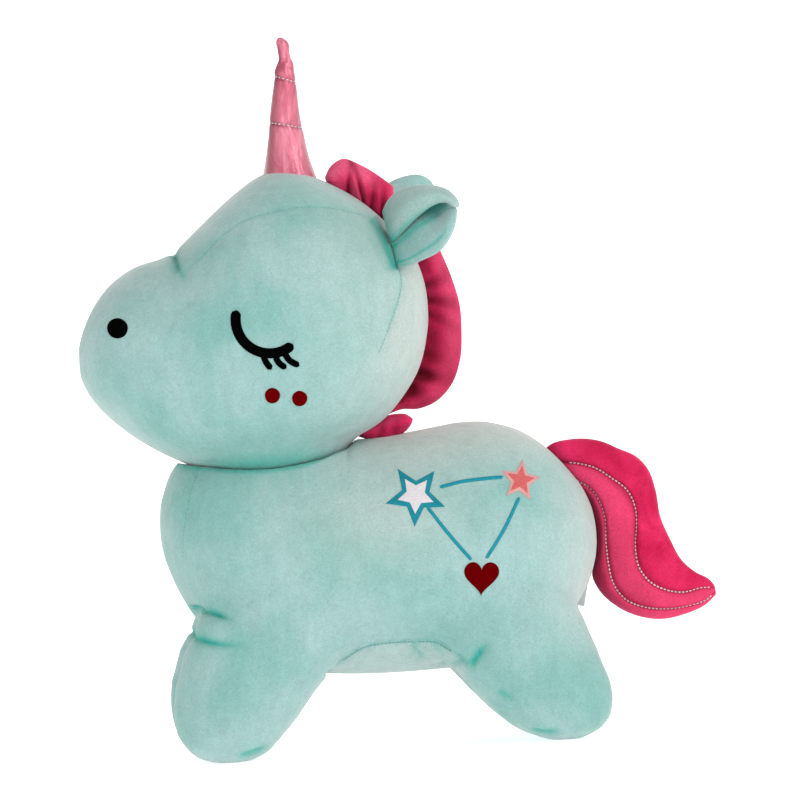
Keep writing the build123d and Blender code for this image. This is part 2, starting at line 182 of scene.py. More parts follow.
def makeTubes(name, tubes):
    points, faces, first = [], [], 0
    for rings in tubes:
        points.append(tubePoints(rings))
        faces += tubeFaces(rings.shape[0], rings.shape[1], first)
        first += len(points[-1])
    return makePiece(name, np.concatenate(points), faces)


def settle(obj):
    # applies the piece's modifiers to its mesh
    graph = bpy.context.evaluated_depsgraph_get()
    mesh = bpy.data.meshes.new_from_object(obj.evaluated_get(graph))
    old = obj.data
    obj.modifiers.clear()
    obj.data = mesh
    bpy.data.meshes.remove(old)
    obj.data.shade_smooth()
    return obj


def soften(obj, rounds):
    # moves each point halfway to the middle of its neighbours, over and over
    ease = obj.modifiers.new("ease", "SMOOTH")
    ease.factor, ease.iterations = 0.5, rounds
    return settle(obj)


def thicken(obj, thickness, even=False):
    wall = obj.modifiers.new("wall", "SOLIDIFY")
    wall.thickness, wall.offset, wall.use_even_offset = thickness * mm, 0.0, even
    return settle(obj)


def subdivide(obj, levels):
    smooth = obj.modifiers.new("smooth", "SUBSURF")
    smooth.levels = smooth.render_levels = levels
    return settle(obj)


filling = {
    "quality": 6, "mass": 0.25, "tension_stiffness": 12, "compression_stiffness": 12, "bending_stiffness": 0.4,
    "use_pressure": True, "uniform_pressure_force": 4.0, "vertex_group_mass": "seams",
}
fillFrames = 20


def puff(obj, pinned, travel):
    # fills the closed cloth with air pressure, holds the pinned points, and caps how far the others go
    start = readPoints(obj)
    seams = obj.vertex_groups.new(name="seams")
    seams.add(np.flatnonzero(pinned).tolist(), 1.0, "REPLACE")
    cloth = obj.modifiers.new("filling", "CLOTH")
    for setting, value in filling.items():
        setattr(cloth.settings, setting, value)
    cloth.settings.effector_weights.gravity = 0
    cloth.point_cache.frame_start, cloth.point_cache.frame_end = 1, fillFrames
    for number in range(1, fillFrames + 1):
        scene.frame_set(number)
    shown = obj.evaluated_get(bpy.context.evaluated_depsgraph_get())
    flat = np.zeros(len(start) * 3, np.float32)
    shown.data.vertices.foreach_get("co", flat)
    moved = flat.reshape(-1, 3) / mm - start
    size = np.linalg.norm(moved, axis=1, keepdims=True)
    obj.modifiers.clear()
    obj.vertex_groups.clear()
    scene.frame_set(1)
    writePoints(obj, start + moved * np.minimum(1, travel / np.maximum(size, 1e-6)))
    print("filled", obj.name, "mean move mm", round(float(np.minimum(size, travel).mean()), 2))


def drape(points, skin, side):
    # drops points straight onto a skin from its left or its right; one that misses it stays where it started
    start = np.array(points, float)
    start[:, 1] = side * dropFrom
    helper = makePiece("drape", start, [])
    wrap = helper.modifiers.new("wrap", "SHRINKWRAP")
    wrap.target = skin
    wrap.wrap_method = "PROJECT"
    wrap.use_project_y = True
    wrap.use_positive_direction = side < 0
    wrap.use_negative_direction = side > 0
    settle(helper)
    landed = readPoints(helper)
    bpy.data.objects.remove(helper)
    return landed


def drapeFrames(points, skin, side):
    # landed points of a line, the line's direction at each, and the skin's outward normal there
    landed = drape(points, skin, side)
    hit = np.abs(landed[:, 1]) < 0.8 * dropFrom
    points, landed = points[hit], landed[hit]
    along = unit(np.gradient(landed, axis=0))
    outward = np.array([0.0, side, 0.0])
    across = unit(np.cross(along, outward))
    beside = drape(points + across * 0.8, skin, side)
    normal = unit(np.cross(along, beside - landed))
    return landed, along, normal * np.sign((normal * outward).sum(1, keepdims=True))


# Materials

def tint(red, green, blue):
    # screen values from 0 to 255 as the linear colour that shaders take
    c = np.array([red, green, blue]) / 255
    return (*np.where(c <= 0.04045, c / 12.92, ((c + 0.055) / 1.055) ** 2.4).tolist(), 1.0)


def addNode(tree, kind, inputs=None, **settings):
    # a node with its settings, each input linked to a socket or set to a value
    node = tree.nodes.new(kind)
    for name, value in settings.items():
        setattr(node, name, value)
    for name, value in (inputs or {}).items():
        if isinstance(value, bpy.types.NodeSocket):
            tree.links.new(value, node.inputs[name])
        else:
            node.inputs[name].default_value = value
    return node


def startMaterial(name, shaderInputs):
    material = bpy.data.materials.new(name)
    material.use_nodes = True
    tree = material.node_tree
    shader = tree.nodes["Principled BSDF"]
    for socket, value in shaderInputs.items():
        shader.inputs[socket].default_value = value
    return material, tree, shader


def noise(tree, place, scale, detail=2.0, roughness=0.5, distortion=0.0):
    inputs = {"Vector": place, "Scale": scale, "Detail": detail, "Roughness": roughness, "Distortion": distortion}
    return addNode(tree, "ShaderNodeTexNoise", inputs).outputs["Fac"]


def remap(tree, value, fromLow, fromHigh, toLow, toHigh):
    inputs = {"Value": value, "From Min": fromLow, "From Max": fromHigh, "To Min": toLow, "To Max": toHigh}
    return addNode(tree, "ShaderNodeMapRange", inputs).outputs["Result"]


def blendColour(tree, share, first, second, how="MIX"):
    inputs = {"Factor": share, 6: first, 7: second}
    return addNode(tree, "ShaderNodeMix", inputs, data_type="RGBA", blend_type=how).outputs[2]


def sums(tree, first, second, how="ADD"):
    return addNode(tree, "ShaderNodeMath", {0: first, 1: second}, operation=how).outputs[0]


def times(tree, first, second):
    return sums(tree, first, second, "MULTIPLY")


def roughen(tree, shader, height, strength, distance):
    bump = addNode(tree, "ShaderNodeBump", {"Strength": strength, "Distance": distance, "Height": height})
    tree.links.new(bump.outputs["Normal"], shader.inputs["Normal"])


def attribute(tree, name, output="Fac"):
    return addNode(tree, "ShaderNodeAttribute", attribute_name=name).outputs[output]


def objectPlace(tree, scale=(1, 1, 1), turn=(0, 0, 0)):
    place = addNode(tree, "ShaderNodeTexCoord").outputs["Object"]
    inputs = {"Vector": place, "Scale": scale, "Rotation": [math.radians(a) for a in turn]}
    return addNode(tree, "ShaderNodeMapping", inputs).outputs["Vector"]


def plushMaterial(name, cloth):
    # short pile: brushed patches, streaks and speckle, with painted shade in folds, creases and under parts, and paler
    # where the pale mark says, which is partly paler cloth and brushed pile, partly painted light and sheen
    shaderInputs = {"Roughness": 0.92, "Specular IOR Level": 0.12, "Sheen Weight": cloth["sheen"],
                    "Sheen Roughness": 0.42, "Sheen Tint": cloth["sheenTint"]}
    material, tree, shader = startMaterial(name, shaderInputs)
    place = objectPlace(tree)
    patches = remap(tree, noise(tree, place, cloth["patchScale"], 3, 0.55, 0.7), 0.38, 0.66, 0, 1)
    streaks = noise(tree, objectPlace(tree, (1, 1, 0.4), (0, 25, 0)), 150, 4, 0.6, 0.4)
    speckle = noise(tree, place, 1250, 3, 0.75)
    tufts = noise(tree, place, 420, 2, 0.6)
    colour = blendColour(tree, patches, cloth["base"], cloth["brushedAndLit"])
    # paler where the pale mark says: paler cloth and brushed pile in some places, painted light and sheen in others
    colour = blendColour(tree, attribute(tree, "pale"), colour, cloth["pale"])
    # painted shade: where the mark for creases and under parts is set, the colour goes towards the darker tone
    colour = blendColour(tree, attribute(tree, "paintedShade"), colour, cloth["shaded"])
    nap = remap(tree, speckle, 0.3, 0.7, 1 - cloth["speckle"], 1 + cloth["speckle"] * 0.8)
    shade = times(tree, nap, remap(tree, streaks, 0.3, 0.7, 0.94, 1.05))
    shade = times(tree, shade, remap(tree, tufts, 0.3, 0.7, 0.955, 1.04))
    tree.links.new(blendColour(tree, 1.0, colour, shade, "MULTIPLY"), shader.inputs["Base Color"])
    height = sums(tree, times(tree, speckle, 0.45), times(tree, tufts, 0.8))
    roughen(tree, shader, sums(tree, height, times(tree, streaks, 1.3)), 0.55, 0.0007)
    return material


def leatherMaterial(name, cover):
    # thin metallic cover: painted highlight streaks, painted shade down its sides and in pinches, and soft crumples
    # under a fine pebble grain
    shaderInputs = {"Metallic": 0.35, "Specular IOR Level": 0.7, "Coat Weight": 0.4, "Coat Roughness": 0.2}
    material, tree, shader = startMaterial(name, shaderInputs)
    place = objectPlace(tree)
    crumple = noise(tree, objectPlace(tree, (1, 1, 0.45)), 95, 4, 0.55, 1.4)
    cloud = noise(tree, place, 40, 2, 0.5, 0.5)
    pebble = addNode(tree, "ShaderNodeTexVoronoi", {"Vector": place, "Scale": 1500}).outputs["Distance"]
    streak = noise(tree, objectPlace(tree, (1, 1, 0.14)), 150, 3, 0.6, 0.6)
    # painted highlight: cloudy patches and long streaks blend the colour towards the lighter tone
    paintedShine = sums(tree, remap(tree, cloud, 0.35, 0.65, 0, 0.5), remap(tree, streak, 0.48, 0.66, 0, 1.0))
    colour = blendColour(tree, paintedShine, cover["base"], cover["light"])
    colour = blendColour(tree, remap(tree, crumple, 0.5, 0.72, 0, 0.5), colour, cover["shade"])
    # painted shade from the horn's mark: darker down its front and back and under the stitch bands
    colour = blendColour(tree, attribute(tree, "paintedShade"), colour, cover["shade"])
    tree.links.new(colour, shader.inputs["Base Color"])
    tree.links.new(remap(tree, crumple, 0.3, 0.7, 0.27, 0.42), shader.inputs["Roughness"])
    roughen(tree, shader, sums(tree, crumple, times(tree, pebble, 0.06)), 0.5, 0.0022)
    return material


def threadMaterial(name, base, light, pale, pitch, valley, roughness, gloss):
    # rows of thread across the mark, each one round, with a little difference from row to row
    material, tree, shader = startMaterial(name, {"Roughness": roughness, "Specular IOR Level": gloss})
    lay = addNode(tree, "ShaderNodeSeparateXYZ", {"Vector": attribute(tree, "lay", "Vector")})
    along = times(tree, lay.outputs["X"], 2 * math.pi / pitch)
    ridge = remap(tree, sums(tree, along, 0.0, "SINE"), -1, 1, 0, 1)
    twist = noise(tree, objectPlace(tree), 900, 3, 0.6)
    colour = blendColour(tree, remap(tree, twist, 0.3, 0.7, 0, 1), base, light)
    colour = blendColour(tree, attribute(tree, "pale"), colour, pale)
    # painted shade in the grooves between the rows of thread
    shade = remap(tree, ridge, 0, 1, valley, 1.05)
    tree.links.new(blendColour(tree, 1.0, colour, shade, "MULTIPLY"), shader.inputs["Base Color"])
    roughen(tree, shader, sums(tree, ridge, times(tree, twist, 0.6)), 0.6, 0.0003)
    return material


def ribbonMaterial(name):
    # satin weave: close fine ribs both ways
    material, tree, shader = startMaterial(name, {"Roughness": 0.38, "Sheen Weight": 0.2, "Specular IOR Level": 0.5})
    place = objectPlace(tree)
    ribs = [addNode(tree, "ShaderNodeTexWave", {"Vector": place, "Scale": scale}, bands_direction=way).outputs["Fac"]
            for way, scale in (("Z", 1400), ("X", 1000))]
    weave = sums(tree, *ribs)
    colour = blendColour(tree, remap(tree, weave, 0, 2, 0, 1), tint(140, 146, 150), tint(206, 210, 212))
    tree.links.new(colour, shader.inputs["Base Color"])
    roughen(tree, shader, weave, 0.4, 0.0002)
    return material


# each cloth: base and brushed patch colours, a darker tone for painted shade, a pale tone for paler cloth and painted
# light, and its sheen
mintCloth = {
    "base": tint(148, 180, 178), "brushedAndLit": tint(122, 169, 163), "shaded": tint(44, 158, 146),
    "pale": tint(178, 187, 183), "sheenTint": tint(240, 226, 224), "sheen": 0.55, "patchScale": 15.0, "speckle": 0.17,
}
magentaCloth = {
    "base": tint(212, 42, 92), "brushedAndLit": tint(180, 20, 66), "shaded": tint(92, 0, 18),
    "pale": tint(214, 88, 122), "sheenTint": tint(255, 160, 190), "sheen": 0.4, "patchScale": 34.0, "speckle": 0.24,
}
# the horn cover: its colour, a lighter tone for painted highlights and a darker one for the crumples and painted shade
hornCover = {"base": tint(186, 78, 104), "light": tint(216, 124, 146), "shade": tint(134, 38, 60)}
yarns = {
    # base, lighter and palest colour, pitch of the rows, shade between them, roughness and gloss
    "white": (tint(214, 208, 214), tint(232, 228, 232), tint(232, 228, 232), 0.5, 0.74, 0.6, 0.2),
    "teal": (tint(6, 134, 154), tint(28, 160, 176), tint(28, 160, 176), 0.55, 0.6, 0.55, 0.2),
    "pink": (tint(206, 82, 84), tint(220, 116, 114), tint(232, 170, 168), 0.55, 0.62, 0.55, 0.2),
    "red": (tint(92, 0, 2), tint(112, 2, 6), tint(112, 2, 6), 0.5, 0.6, 0.9, 0.0),
    "black": (tint(3, 3, 4), tint(9, 9, 10), tint(9, 9, 10), 0.5, 0.6, 0.9, 0.0),
    "seam": (tint(92, 138, 132), tint(116, 162, 156), tint(116, 162, 156), 0.6, 0.7, 0.7, 0.1),
}

mintPlush = plushMaterial("mintPlush", mintCloth)
magentaPlush = plushMaterial("magentaPlush", magentaCloth)
hornLeather = leatherMaterial("hornLeather", hornCover)
threads = {colour: threadMaterial(f"{colour}Thread", *yarn) for colour, yarn in yarns.items()}
satin = ribbonMaterial("labelSatin")
print("materials made")


def dress(obj, material, body=None):
    obj.data.materials.clear()
    obj.data.materials.append(material)
    if body:
        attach(obj, body)
    return obj


# Stuffed forms

neckSeat = {
    "x": -78.0, "z": 250.0, "radius": 87.0, "seat": 46.0, "lip": 2.4, "rim": 64.0, "relief": 0.9, "gap": 0.8,
    "turns": (-15, -7.5, 0, 7.5, 15), "nods": (-3.5, 3),
}
head = {
    "front": -186.7, "base": 176.0, "length": 209.7, "height": 175.0, "width": 156.0, "fullness": 2.7,
    "sections": [
        (0.000, 0.420, 0.350, 0.10), (0.012, 0.478, 0.300, 0.26), (0.045, 0.560, 0.235, 0.46),
        (0.100, 0.640, 0.165, 0.62), (0.180, 0.700, 0.090, 0.75), (0.285, 0.735, 0.022, 0.86),
        (0.370, 0.825, 0.003, 0.93), (0.460, 0.915, 0.000, 0.98), (0.560, 0.990, 0.006, 1.00),
        (0.655, 0.985, 0.028, 0.99), (0.750, 0.935, 0.065, 0.92), (0.845, 0.855, 0.120, 0.79),
        (0.920, 0.760, 0.215, 0.61), (0.968, 0.680, 0.310, 0.41), (0.992, 0.600, 0.405, 0.20),
        (1.000, 0.540, 0.455, 0.08),
    ],
    "voxel": 4.8, "inset": -0.8, "travel": 2.6, "neckReach": 74, "neckTop": 205, "crownSeamY": 44, "noseSeamX": -127,
    "plugTop": 215,
}
torso = {
    "front": -145.0, "base": 46.0, "length": 260.0, "height": 146.0, "width": 136.0, "fullness": 2.0,
    "sections": [
        (0.000, 0.700, 0.600, 0.10), (0.010, 0.774, 0.507, 0.26), (0.030, 0.863, 0.404, 0.44),
        (0.060, 0.925, 0.300, 0.60), (0.120, 0.960, 0.178, 0.78), (0.220, 0.973, 0.062, 0.93),
        (0.360, 0.966, 0.014, 1.00), (0.500, 0.955, 0.000, 1.00), (0.620, 0.980, 0.003, 1.00),
        (0.740, 1.000, 0.014, 0.97), (0.830, 0.962, 0.068, 0.89), (0.900, 0.870, 0.150, 0.76),
        (0.950, 0.767, 0.240, 0.60), (0.980, 0.685, 0.330, 0.42), (0.995, 0.603, 0.418, 0.22),
        (1.000, 0.555, 0.459, 0.09),
    ],
    "voxel": 6.0, "inset": -1.1, "travel": 2.8, "neckReach": 62, "neckFoot": 150, "bellySeamY": 40, "cushion": 92,
}
legs = {
    "length": 96.0, "width": 61.0, "spread": 37.0, "frontX": -104.0, "rearX": 72.0,
    "front": [
        (0.00, -0.073, 0.135, 0.18), (0.03, -0.083, 0.198, 0.28), (0.09, -0.089, 0.234, 0.33),
        (0.20, -0.094, 0.281, 0.39), (0.35, -0.078, 0.339, 0.44), (0.61, -0.038, 0.409, 0.475),
        (0.87, 0.010, 0.448, 0.49), (1.13, 0.083, 0.490, 0.50), (1.52, 0.161, 0.500, 0.49),
        (2.07, 0.220, 0.420, 0.40), (2.50, 0.250, 0.300, 0.25),
    ],
    "rear": [
        (0.00, 0.146, 0.125, 0.17), (0.03, 0.156, 0.167, 0.25), (0.09, 0.151, 0.224, 0.32),
        (0.20, 0.133, 0.300, 0.39), (0.35, 0.109, 0.359, 0.44), (0.61, 0.057, 0.422, 0.475),
        (0.87, -0.016, 0.453, 0.49), (1.13, -0.083, 0.479, 0.50), (1.52, -0.140, 0.464, 0.49),
        (2.07, -0.170, 0.380, 0.40), (2.50, -0.200, 0.260, 0.25),
    ],
}


def sectionAt(form, share):
    # middle height, half height and half width of a form where its length is used up by share
    table = np.array(form["sections"])
    turn = np.arccos(np.clip(1 - 2 * share, -1, 1))
    top, bottom, breadth = cubicThrough(np.arccos(1 - 2 * table[:, 0]), table[:, 1:], turn).T
    middle = form["base"] + (top + bottom) / 2 * form["height"]
    return middle, (top - bottom) / 2 * form["height"], breadth / 2 * form["width"]


def bodyRings(form, rows, cols, inset):
    # each ring is an ellipse above its middle, and |y/w|^n + |z/h|^n = 1 below it, n being the fullness
    share = (1 - np.cos(np.linspace(0, np.pi, rows))) / 2
    middle, tall, wide = sectionAt(form, share)
    angle = fullTurn(cols)
    across, up = np.cos(angle), np.sin(angle)
    n = np.where(up < 0, form["fullness"], 2.0)
    reach = (np.abs(across) ** n + np.abs(up) ** n) ** (-1 / n)
    x = form["front"] + inset + share * (form["length"] - 2 * inset)
    tall, wide = np.maximum(tall - inset, 1)[:, None], np.maximum(wide - inset, 1)[:, None]
    return np.stack([x[:, None] + 0 * across, across * reach * wide, middle[:, None] + up * reach * tall], -1)


def legRings(table, x, y, rows, cols):
    # each ring is a flat ellipse at its height, its middle moved along X by the table's offset
    table = np.array(table)
    height, offset, halfLength, halfWidth = cubicThrough(
        np.arange(len(table)), table, np.linspace(0, len(table) - 1, rows)).T[:, :, None]
    angle = fullTurn(cols)[None]
    px = x + offset * legs["length"] + halfLength * legs["length"] * np.cos(angle)
    py = y + halfWidth * legs["width"] * np.sin(angle)
    return np.stack([px, py, height * torso["base"] + 0 * angle], -1)


def seatHeight(r):
    # underside of the round neck plug: a ball, then a steep lip that runs up into the cheeks
    seat, radius = neckSeat["seat"], neckSeat["radius"]
    ball = neckSeat["z"] - np.sqrt(radius**2 - np.minimum(r, seat) ** 2)
    return ball + neckSeat["lip"] * np.maximum(r - seat, 0)


def headUnderside(x, y):
    # height of the lowest head surface over a point: the head's lower curve or the plug, whichever is lower
    share = (x - head["front"]) / head["length"]
    middle, tall, wide = sectionAt(head, np.clip(share, 0.001, 0.999))
    n = head["fullness"]
    inside = (np.abs(y) < wide) & (share > 0) & (share < 1)
    curve = middle - tall * (1 - np.minimum(np.abs(y) / wide, 1) ** n) ** (1 / n)
    return np.minimum(np.where(inside, curve, openAir), seatHeight(np.hypot(x - neckSeat["x"], y)))


def stuffedForm(name, tubes, form, pins):
    # one skin round the overlapping tubes, smoothed, filled under pressure, and made fine enough for its seams
    obj = makeTubes(name, tubes)
    union = obj.modifiers.new("union", "REMESH")
    union.mode, union.voxel_size = "VOXEL", form["voxel"] * mm
    soften(obj, 4)
    puff(obj, pins(readPoints(obj)), form["travel"])
    return subdivide(obj, 2)


def crease(points, normals, folds):
    # each fold pushes the skin in along its normal: a narrow line in a broad dip, and paints shade into the same line
    # and dip
    paintedShade, move = np.zeros(len(points)), np.zeros(len(points))
    for side in (-1, 1):
        near = smoothstep(4, 14, side * points[:, 1])
        for line, depth, width, colour, start, end, puckers in folds:
            gap, share = nearLine(points[:, [0, 2]], smoothLine(line, 24))
            ends = smoothstep(0, max(start, 1e-3), share + 1e-3) * smoothstep(0, max(end, 1e-3), 1.001 - share) * near
            pucker = 1 + 0.35 * np.sin(share * puckers * 2 * np.pi)
            thin = bell(gap, width)
            dip = bell(gap, 3.2 * width)
            move -= depth * pucker * (0.7 * thin + 0.4 * dip) * ends
            paintedShade += colour * (0.9 * thin**0.8 + 0.22 * dip) * ends
    return points + normals * move[:, None], paintedShade


def lumps(points, size):
    # slow unevenness of hand filling: a product of three long waves and a shorter one
    x, y, z = points.T
    slow = np.sin(x / 23 + 1.3) * np.sin(y / 19 + 0.5) * np.sin(z / 21 + 2.1)
    quick = np.sin(x / 9.5 + y / 13 + 0.7) * np.sin(z / 10.5 - y / 15 + 1.9)
    return size * (slow + 0.35 * quick)


bellySeam = [(-54, 47), (-43, 56), (-30.5, 63), (-15, 65), (-1, 64.5), (13, 63), (21.5, 57.5), (30, 49)]
crownSeam = [(-123.5, 292), (-112.8, 300), (-99, 312.5), (-82, 322), (-71, 324.5), (-50, 327), (-30, 325),
             (-14, 320.5), (-5, 317)]
napeSeam = [(5.5, 289), (6.5, 280), (3.5, 268), (0.5, 261), (-5.5, 248), (-13, 233)]
# each fold: its line in X and Z, depth, width, strength of its painted shade, the shares it fades in and out over, and
# its puckers
headFolds = [
    ([(-128, 306), (-126.5, 300), (-124, 292), (-121, 284)], 1.8, 1.5, 0.6, 0.01, 0.6, 0),
    (crownSeam, 0.7, 1.3, 0.14, 0, 0.02, 11),
    (napeSeam, 0.8, 1.4, 0.25, 0, 0.5, 7),
    ([(-7, 321), (-3, 311), (1, 300), (4.5, 285)], 1.8, 3.0, 0.85, 0.1, 0.1, 0),
]
torsoFolds = [
    ([(-134, 91), (-127.5, 91.6), (-120.5, 91), (-112, 87.5), (-104, 85)], 4.2, 1.9, 1.0, 0, 0.5, 0),
    ([(-136, 79.5), (-130.5, 76.5), (-120.5, 73), (-106, 71), (-92, 71)], 2.6, 1.9, 0.95, 0, 0.75, 0),
    ([(45, 64), (38.5, 58), (34.5, 53), (29, 45)], 2.8, 2.0, 0.9, 0.55, 0.3, 0),
    ([(29, 52), (22, 50), (13, 50)], 1.2, 1.8, 0.35, 0.3, 0.3, 0),
    ([(-112, 4), (-100, 6), (-88, 10.5)], 1.6, 1.7, 0.7, 0.3, 0.4, 0),
    ([(62, 9), (74, 6), (86, 6)], 1.4, 1.7, 0.7, 0.3, 0.4, 0),
    ([(46, 34), (52, 29), (58, 26)], 1.2, 1.6, 0.5, 0.2, 0.6, 0),
    ([(-30, 191), (-31, 182), (-33, 170)], 1.0, 1.5, 0.2, 0, 0.5, 0),
    ([(-117.5, 181), (-125, 168), (-129.3, 153), (-133, 136), (-134, 122)], 0.8, 1.5, 0.08, 0, 0.4, 8),
    (bellySeam, 1.4, 1.6, 0.22, 0.02, 0.02, 9),
    ([(-1, 63), (2, 58), (8, 52)], 1.3, 1.5, 0.4, 0.05, 0.5, 0),
    ([(11, 63), (14, 58), (18, 53)], 0.9, 1.4, 0.3, 0.05, 0.5, 0),
]


def headPins(points):
    # the neck and the sewn lines over the crown and across the nose keep their places
    x, y, z = points.T
    low = (np.hypot(x - neckSeat["x"], y) < head["neckReach"]) & (z < head["neckTop"])
    crown = (np.abs(np.abs(y) - head["crownSeamY"]) < 3.2) & (z > 285)
    nose = (np.abs(x - head["noseSeamX"]) < 3.5) & (z > 292)
    return low | crown | nose


def makeHead():
    rings = bodyRings(head, 90, 96, head["inset"])
    x, y, z = np.moveaxis(rings, -1, 0)
    plug = seatHeight(np.hypot(x - neckSeat["x"], y))
    rings[..., 2] = np.where(z < head["plugTop"], np.minimum(z, plug), z)
    obj = stuffedForm("head_skin", [rings], head, headPins)
    points, normals = readPoints(obj), readNormals(obj)
    points, paintedShade = crease(points, normals, headFolds)
    x, y, z = points.T
    # the squared front end of the forehead panel is sewn straight across the nose
    end = bell(x - head["noseSeamX"], 2.6) * smoothstep(46, 38, np.abs(y)) * smoothstep(285, 298, z)
    points -= normals * (1.9 * end + lumps(points, 0.45) * smoothstep(190, 215, z))[:, None]
    writePoints(obj, points)
    # painted shade in the creases, in the nose seam and low round the neck where the head sits on the body
    low = smoothstep(66, 50, np.hypot(x - neckSeat["x"], y)) * smoothstep(186, 174, z)
    mark(obj, "paintedShade", np.clip(paintedShade + 0.4 * end + 0.7 * low, 0, 1))
    seamX = np.interp(z, [195, 205, 225, 248, 261, 268, 280, 289, 320], [-38, -30, -16, -5.5, 0.5, 3.5, 6.5, 5.5, -2])
    blur = 1.2 + 14 * smoothstep(262, 225, z)
    gusset = 0.45 * smoothstep(-blur, blur, x - seamX) * smoothstep(195, 240, z)
    # the gusset panel is a paler cloth; paler towards the back of the head is painted light and sheen
    mark(obj, "pale", np.clip(gusset + 0.3 * smoothstep(-70, 0, x), 0, 1))
    dress(obj, mintPlush, "head")
    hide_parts("head_left_panel", "head_right_panel", "head_gusset", "head_stuffing")
    return obj


def torsoPins(points):
    # the soles, the neck and the sewn lines along the belly and the back keep their places
    x, y, z = points.T
    foot = z < 5
    neck = (np.hypot(x - neckSeat["x"], y) < torso["neckReach"]) & (z > torso["neckFoot"])
    belly = (np.abs(np.abs(y) - torso["bellySeamY"]) < 4) & (z < 66) & (x > -52) & (x < 34)
    spine = (np.abs(y) < 3.5) & (z > 70) & (x > -10)
    return foot | neck | belly | spine


def makeTorso():
    inset = torso["inset"]
    tubes = [bodyRings(torso, 90, 80, inset)]
    for side in (-1, 1):
        for end in ("front", "rear"):
            tubes.append(legRings(legs[end], legs[end + "X"], side * legs["spread"], 60, 48))
    obj = stuffedForm("torso_skin", tubes, torso, torsoPins)
    points, normals = readPoints(obj), readNormals(obj)
    points, paintedShade = crease(points, normals, torsoFolds)
    x, y, z = points.T
    # the two flanks are sewn together along the back and down the rump
    spine = bell(y, 1.8) * smoothstep(-18, -8, x) * smoothstep(70, 80, z)
    points -= normals * (0.8 * spine + lumps(points, 0.5) * smoothstep(8, 30, z))[:, None]
    # under the head the cloth stays below the head's underside, wherever the head turns to
    x, y, z = points.T
    limit = np.full(len(points), openAir)
    for angle in neckSeat["turns"]:
        c, s = cosSin(angle)
        dx = x - neckSeat["x"]
        limit = np.minimum(limit, headUnderside(neckSeat["x"] + c * dx - s * y, s * dx + c * y))
    for angle in neckSeat["nods"]:
        c, s = cosSin(angle)
        dx, dz = x - neckSeat["x"], z - neckSeat["z"]
        room = headUnderside(neckSeat["x"] + c * dx - s * dz, y) - (neckSeat["z"] + s * dx + c * dz)
        limit = np.minimum(limit, z + room)
    r = np.hypot(x - neckSeat["x"], y)
    limit = limit - neckSeat["gap"] - neckSeat["relief"] * smoothstep(neckSeat["seat"], neckSeat["rim"], r)
    under = (z > 140) & (r < torso["cushion"])
    points[:, 2] = np.where(under, np.minimum(z, limit), np.maximum(z, 0.0))
    writePoints(obj, points)
    # painted shade in the creases, along the back seam and where the cloth tucks under the head
    tuck = np.where(under, bell(np.maximum(limit - z, 0), 3.5), 0)
    mark(obj, "paintedShade", np.clip(paintedShade + 0.25 * spine + 0.95 * tuck, 0, 1))
    # paler along the top of the back and over the rump is painted light and sheen; a soft patch on the flank is paler,
    # and the belly panel is a paler cloth
    back = 0.9 * smoothstep(150, 192, z) * smoothstep(-60, 0, x)
    rump = 0.6 * smoothstep(70, 112, x) * smoothstep(30, 90, z)
    seamZ = np.interp(x, *np.array(bellySeam).T, left=0, right=0)
    belly = smoothstep(0.8, -0.8, z - seamZ) * smoothstep(-55, -50, x) * smoothstep(31, 27, x)
    side = 0.5 * np.exp(-(((x + 14) / 44) ** 2) - ((z - 142) / 26) ** 2)
    mark(obj, "pale", np.clip(np.maximum(back, rump) + side + 0.4 * belly, 0, 1))
    dress(obj, mintPlush, "torso")
    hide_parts("torso_left_panel", "torso_right_panel", "chest_panel", "belly_panel", "torso_stuffing")
    return obj


headSkin = makeHead()
print("head stuffed", len(headSkin.data.polygons))
torsoSkin = makeTorso()
print("torso stuffed", len(torsoSkin.data.polygons))


# Thread work on the skins

def embroiderStroke(line, width, skin, side, height):
    # a band of the line's width with round ends, domed across: height * sqrt(1 - across^2)
    count = max(10, int(pathSteps(line)[-1] / 0.9))
    line = smoothLine(line, count) if len(line) > 2 else np.linspace(line[0], line[1], count)
    along = pathSteps(line)
    end = np.minimum(along, along[-1] - along) / (width / 2)
    half = width / 2 * np.sqrt(np.clip(1 - (1 - np.minimum(end, 1)) ** 2, 0.02, 1))
    direction = unit(np.gradient(line, axis=0))
    sideways = np.stack([-direction[:, 1], direction[:, 0]], -1)
    across = np.linspace(-1, 1, 9)
    flat = line[:, None] + sideways[:, None] * (across[None, :] * half[:, None])[..., None]
    return closePatch(flat, height * np.sqrt(1 - 0.96 * across**2)[None] * np.ones((count, 1)), skin, side,
                      np.stack([along[:, None] + 0 * across[None], across[None] * half[:, None]], -1))


def embroiderShape(outline, middle, turn, skin, side, height, radial=False):
    # a filled outline, flat on top and rounded at its rim, its threads lying across at the given turn
    share = np.array([0.06, 0.25, 0.45, 0.62, 0.76, 0.87, 0.95, 1.0])
    flat = np.array(middle) + (outline - middle)[None] * share[:, None, None]
    c, s = cosSin(turn)
    lay = np.stack([c * flat[..., 0] + s * flat[..., 1], c * flat[..., 1] - s * flat[..., 0]], -1)
    if radial:  # threads that run in from the rim
        steps = np.linalg.norm(np.roll(outline, -1, 0) - outline, axis=1)
        lay[..., 0] = np.r_[0, np.cumsum(steps)[:-1]][None]
    rise = height * np.sqrt(1 - 0.9 * share**8)[:, None] * np.ones((1, len(outline)))
    return closePatch(flat, rise, skin, side, lay, around=True)


